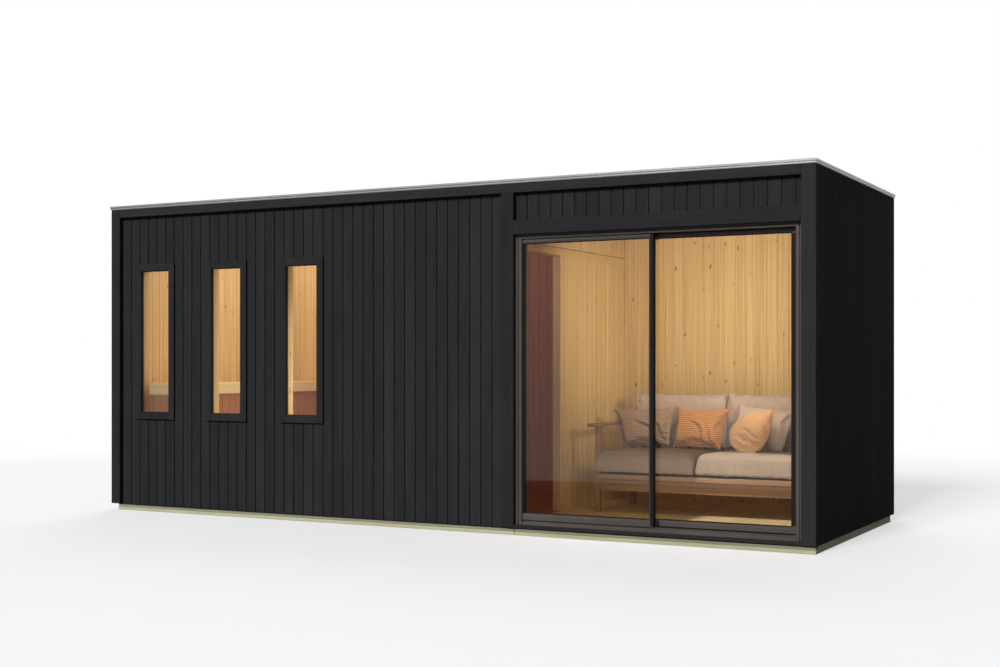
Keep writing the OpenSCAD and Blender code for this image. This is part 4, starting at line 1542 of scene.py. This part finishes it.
def pillows():
    throw_pillow("sofa_pillow_taupe_ribbed", "pillow_taupe_ribbed", (0.452, 0.320, 0.140),
                 seat_place(-0.568, 0.460, 9, 11, 0.010, 0.320, -4), TAUPE_RIBBED, 301,
                 rib_pitch=0.0150, spread=0.125, sides=0.17,
                 folds=[(0.62, -1.05, -0.25, 0.35, 0.085, 0.020), (0.95, -0.80, 0.10, 0.20, 0.065, 0.015),
                        (0.98, -0.45, 0.40, -0.20, 0.050, 0.009)])
    throw_pillow("sofa_pillow_orange", "pillow_orange", (0.440, 0.328, 0.140),
                 seat_place(-0.162, 0.512, -4, 19, 0.008, 0.328, 1), ORANGE_RIBBED,
                 302, rib_pitch=0.0150, spread=0.04,
                 folds=[(0.50, -1.00, -0.30, 0.34, 0.075, 0.016), (0.85, -0.85, 0.28, -0.10, 0.060, 0.011)])
    throw_pillow("sofa_pillow_peach", "pillow_peach", (0.336, 0.316, 0.128),
                 seat_place(0.352, 0.238, -12, 26, 0.150, 0.0, -56), PEACH_RIBBED, 303,
                 rib_pitch=0.0145, tucked=0.060, rib_turn=math.radians(80),
                 folds=[(-0.30, 0.30, 0.11, -0.85, 0.080, 0.018), (-0.66, 0.36, -0.38, -0.70, 0.070, 0.014)])
    throw_pillow("sofa_pillow_taupe", "pillow_taupe_plain", (0.468, 0.342, 0.130),
                 seat_place(0.342, 0.430, -9, 23, 0.0265, 0.342, 6), PILLOW_FABRIC,
                 304, droop=0.12, folds=[(-0.5, 0.5, 0.2, -0.4, 0.10, 0.006)])


SEAT_FABRIC = fabric("taupe_weave", (0.47, 0.340, 0.238), (0.285, 0.195, 0.132), "object")
PILLOW_FABRIC = fabric("taupe_pillow_weave", (0.52, 0.385, 0.265), (0.33, 0.232, 0.153), "cloth")
# ribs= sets how dark the painted shade in the furrows between ribs is
TAUPE_RIBBED = fabric("taupe_ribbed_knit", (0.385, 0.232, 0.128), (0.262, 0.148, 0.078), "cloth", ribs=0.12)
ORANGE_RIBBED = fabric("orange_ribbed_knit", (0.56, 0.258, 0.086), (0.41, 0.165, 0.048), "cloth", ribs=0.20)
PEACH_RIBBED = fabric("peach_ribbed_knit", (0.68, 0.395, 0.185), (0.56, 0.280, 0.116), "cloth", ribs=0.26)


# ---------------------------------------------------------------- camera, light and stage

CAMERA_AT = (5.364, -9.835, 1.212)
CAMERA_TURN = 28.124
CAMERA_LENS = 50.58
CAMERA_RISE = 0.029


def place_in_scene(name, data, place, turn=(0.0, 0.0, 0.0)):
    made = bpy.data.objects.new(name, data)
    made.location = place
    made.rotation_euler = turn
    bpy.context.scene.collection.objects.link(made)
    return made


def camera():
    data = bpy.data.cameras.new("view")
    data.lens = CAMERA_LENS
    data.sensor_width = 36.0
    data.shift_y = CAMERA_RISE
    turn = (math.radians(90), 0.0, math.radians(CAMERA_TURN))
    bpy.context.scene.camera = place_in_scene("view", data, CAMERA_AT, turn)


def floor():
    """A wide pale floor that turns into the white background; mirrored rays meet white further out."""
    s = Shader("pale_floor")
    place = s.place()
    path = s.add("ShaderNodeLightPath").outputs
    shown = s.math("MAXIMUM", path["Is Camera Ray"], path["Is Transmission Ray"])
    pale = s.ramp(s.noise(place, 3.0, 4.0), (0.3, (0.93, 0.93, 0.93)), (0.7, (0.95, 0.95, 0.95)))
    near = s.add("ShaderNodeBsdfDiffuse", {"Color": s.mix(shown, (0.22, 0.22, 0.22), pale)})
    far = s.add("ShaderNodeEmission", {"Color": WHITE, "Strength": 1.0})
    distance = s.value("ShaderNodeVectorMath", {0: place}, "Value", operation="LENGTH")
    white = s.math("MAXIMUM", s.band(distance, 4.0, 11.0), 0.5)
    mirrored = s.band(distance, 5.15, 5.35) * path["Is Glossy Ray"]
    share = s.math("MAXIMUM", white * shown, mirrored)
    both = s.add("ShaderNodeMixShader", {0: share, 1: near.outputs[0], 2: far.outputs[0]})
    s.add("ShaderNodeOutputMaterial", {"Surface": both.outputs[0]})
    mesh = bpy.data.meshes.new("floor")
    size = 60.0
    corners = [(-size, -size, 0), (size, -size, 0), (size, size, 0), (-size, size, 0)]
    mesh.from_pydata(corners, [], [(0, 1, 2, 3)])
    mesh.materials.append(s.made)
    under = 0.0005
    made = place_in_scene("floor", mesh, (0.0, 0.0, CAD_BOUNDS[0][2] - under))


def world():
    """White where it is seen, and a plain even light on everything."""
    s = Shader("studio", bpy.data.worlds)
    path = s.add("ShaderNodeLightPath").outputs
    even = s.add("ShaderNodeBackground", {"Color": (0.96, 0.98, 1.0, 1.0), "Strength": 0.145})
    shown = s.add("ShaderNodeBackground", {"Color": WHITE, "Strength": 1.0})
    seen = s.math("MAXIMUM", path["Is Camera Ray"], path["Is Glossy Ray"])
    seen = s.math("MAXIMUM", seen, path["Is Transmission Ray"])
    both = s.add("ShaderNodeMixShader", {0: seen, 1: even.outputs[0], 2: shown.outputs[0]})
    s.add("ShaderNodeOutputWorld", {"Surface": both.outputs[0]})
    bpy.context.scene.world = s.made


def sun(name, azimuth, elevation, strength, softness):
    """A soft distant lamp. Azimuth 0 is straight at the front and grows towards the right end."""
    data = bpy.data.lights.new(name, "SUN")
    data.energy = strength
    data.angle = math.radians(softness)
    a, e = math.radians(azimuth), math.radians(elevation)
    toward = Vector((math.sin(a) * math.cos(e), -math.cos(a) * math.cos(e), math.sin(e)))
    return place_in_scene(name, data, (0.0, 0.0, 0.0), toward.to_track_quat("Z", "Y").to_euler())


def panel(name, centre, size, watts, colour=(1.0, 0.98, 0.94), aim=(0, 0, -1), spread=180.0):
    """A soft lamp panel that is itself unseen."""
    data = bpy.data.lights.new(name, "AREA")
    data.shape = "RECTANGLE"
    data.size, data.size_y = size
    data.energy = watts
    data.color = colour
    data.spread = math.radians(spread)
    made = place_in_scene(name, data, centre, Vector(aim).to_track_quat("-Z", "Y").to_euler())
    made.visible_camera = made.visible_glossy = made.visible_transmission = False
    return made


ROOM_PIECES = ("pine_back", "pine_right_end", "pine_left_end", "pine_front_inside", "pine_over_door",
               "pine_partition", "pine_ceiling", "dark_boards", "floor_planks", "bench_", "sofa_")
SIDE_PIECES = ("sofa_back_cushion", "sofa_pillow", "sofa_left_side", "sofa_rails", "pine_partition")


def share_light(lamp, state, names=ROOM_PIECES):
    """Lets a lamp light the named pieces alone (INCLUDE), or everything but those (EXCLUDE)."""
    group = bpy.data.collections.new(f"{lamp.name}_group")
    for piece in bpy.context.scene.objects:
        if piece.name.startswith(names) and piece.type == "MESH":
            group.objects.link(piece)
    lamp.light_linking.receiver_collection = group
    for entry in group.collection_objects:
        entry.light_linking.link_state = state


def lights():
    """Soft lamps outside that leave the room alone, and soft lamps in the room."""
    share_light(sun("key", -2.0, 30.0, 1.00 * math.pi, 18.0), "EXCLUDE")
    share_light(sun("back_fill", 200.0, 45.0, 0.40 * math.pi, 40.0), "EXCLUDE")
    beam = panel("door_beam", (2.300, -2.118, 2.760), (0.96, 1.08), 3.9, (0.90, 0.95, 1.0),
                 (0, 0.559, -0.829), 4.0)
    share_light(beam, "INCLUDE")
    lounge = panel("lounge_lamp", (1.80, -0.92, 2.00), (0.9, 0.30), 13.2, aim=(0, 1, -0.18), spread=130.0)
    share_light(lounge, "EXCLUDE", ("sofa_seat_cushion",))
    side = panel("lounge_side", (2.45, -0.90, 1.25), (0.5, 0.30), 2.0, aim=(-0.5, 1, 0), spread=85.0)
    share_light(side, "EXCLUDE", ("sofa_seat_cushion_left",))
    more = panel("sofa_side", (2.62, -0.86, 1.30), (0.3, 0.24), 4.2, aim=(-0.8, 1, 0), spread=85.0)
    share_light(more, "INCLUDE", SIDE_PIECES)
    panel("lounge_low", (1.80, -0.93, 0.45), (1.6, 0.30), 2.1, aim=(0, 1, -0.1), spread=120.0)
    inside = (panel("middle_lamp", (0.0, 0.10, 2.25), (1.0, 1.5), 6.0),
              panel("sauna_lamp", (-2.0, 0.10, 2.25), (1.4, 1.6), 17.5),
              panel("sauna_fill", (-0.9, -0.42, 1.00), (0.9, 1.2), 12.0, aim=(-1, -0.15, 0)))
    lo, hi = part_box("window_glass_1")
    day = panel("bench_day", ((lo.x + hi.x) / 2, -1.55, 1.0), (0.3, 0.3), 1.4, (0.95, 0.98, 1.0), (0, 1, 0))
    share_light(day, "INCLUDE", ("bench_",))
    for lamp in inside:
        share_light(lamp, "EXCLUDE", ("floor_planks",))


def main():
    camera()
    floor()
    world()
    hidden_solids()
    outside_walls()
    outside_trims()
    window_casings()
    base_timbers()
    roof_edge()
    roof_sheets()
    door_frame()
    door_leaves()
    wall_linings()
    partition()
    ceiling()
    floor_planks()
    bench()
    sofa_frame()
    sofa_cushions()
    pillows()
    lights()
    bpy.context.scene.view_settings.view_transform = "Standard"


main()
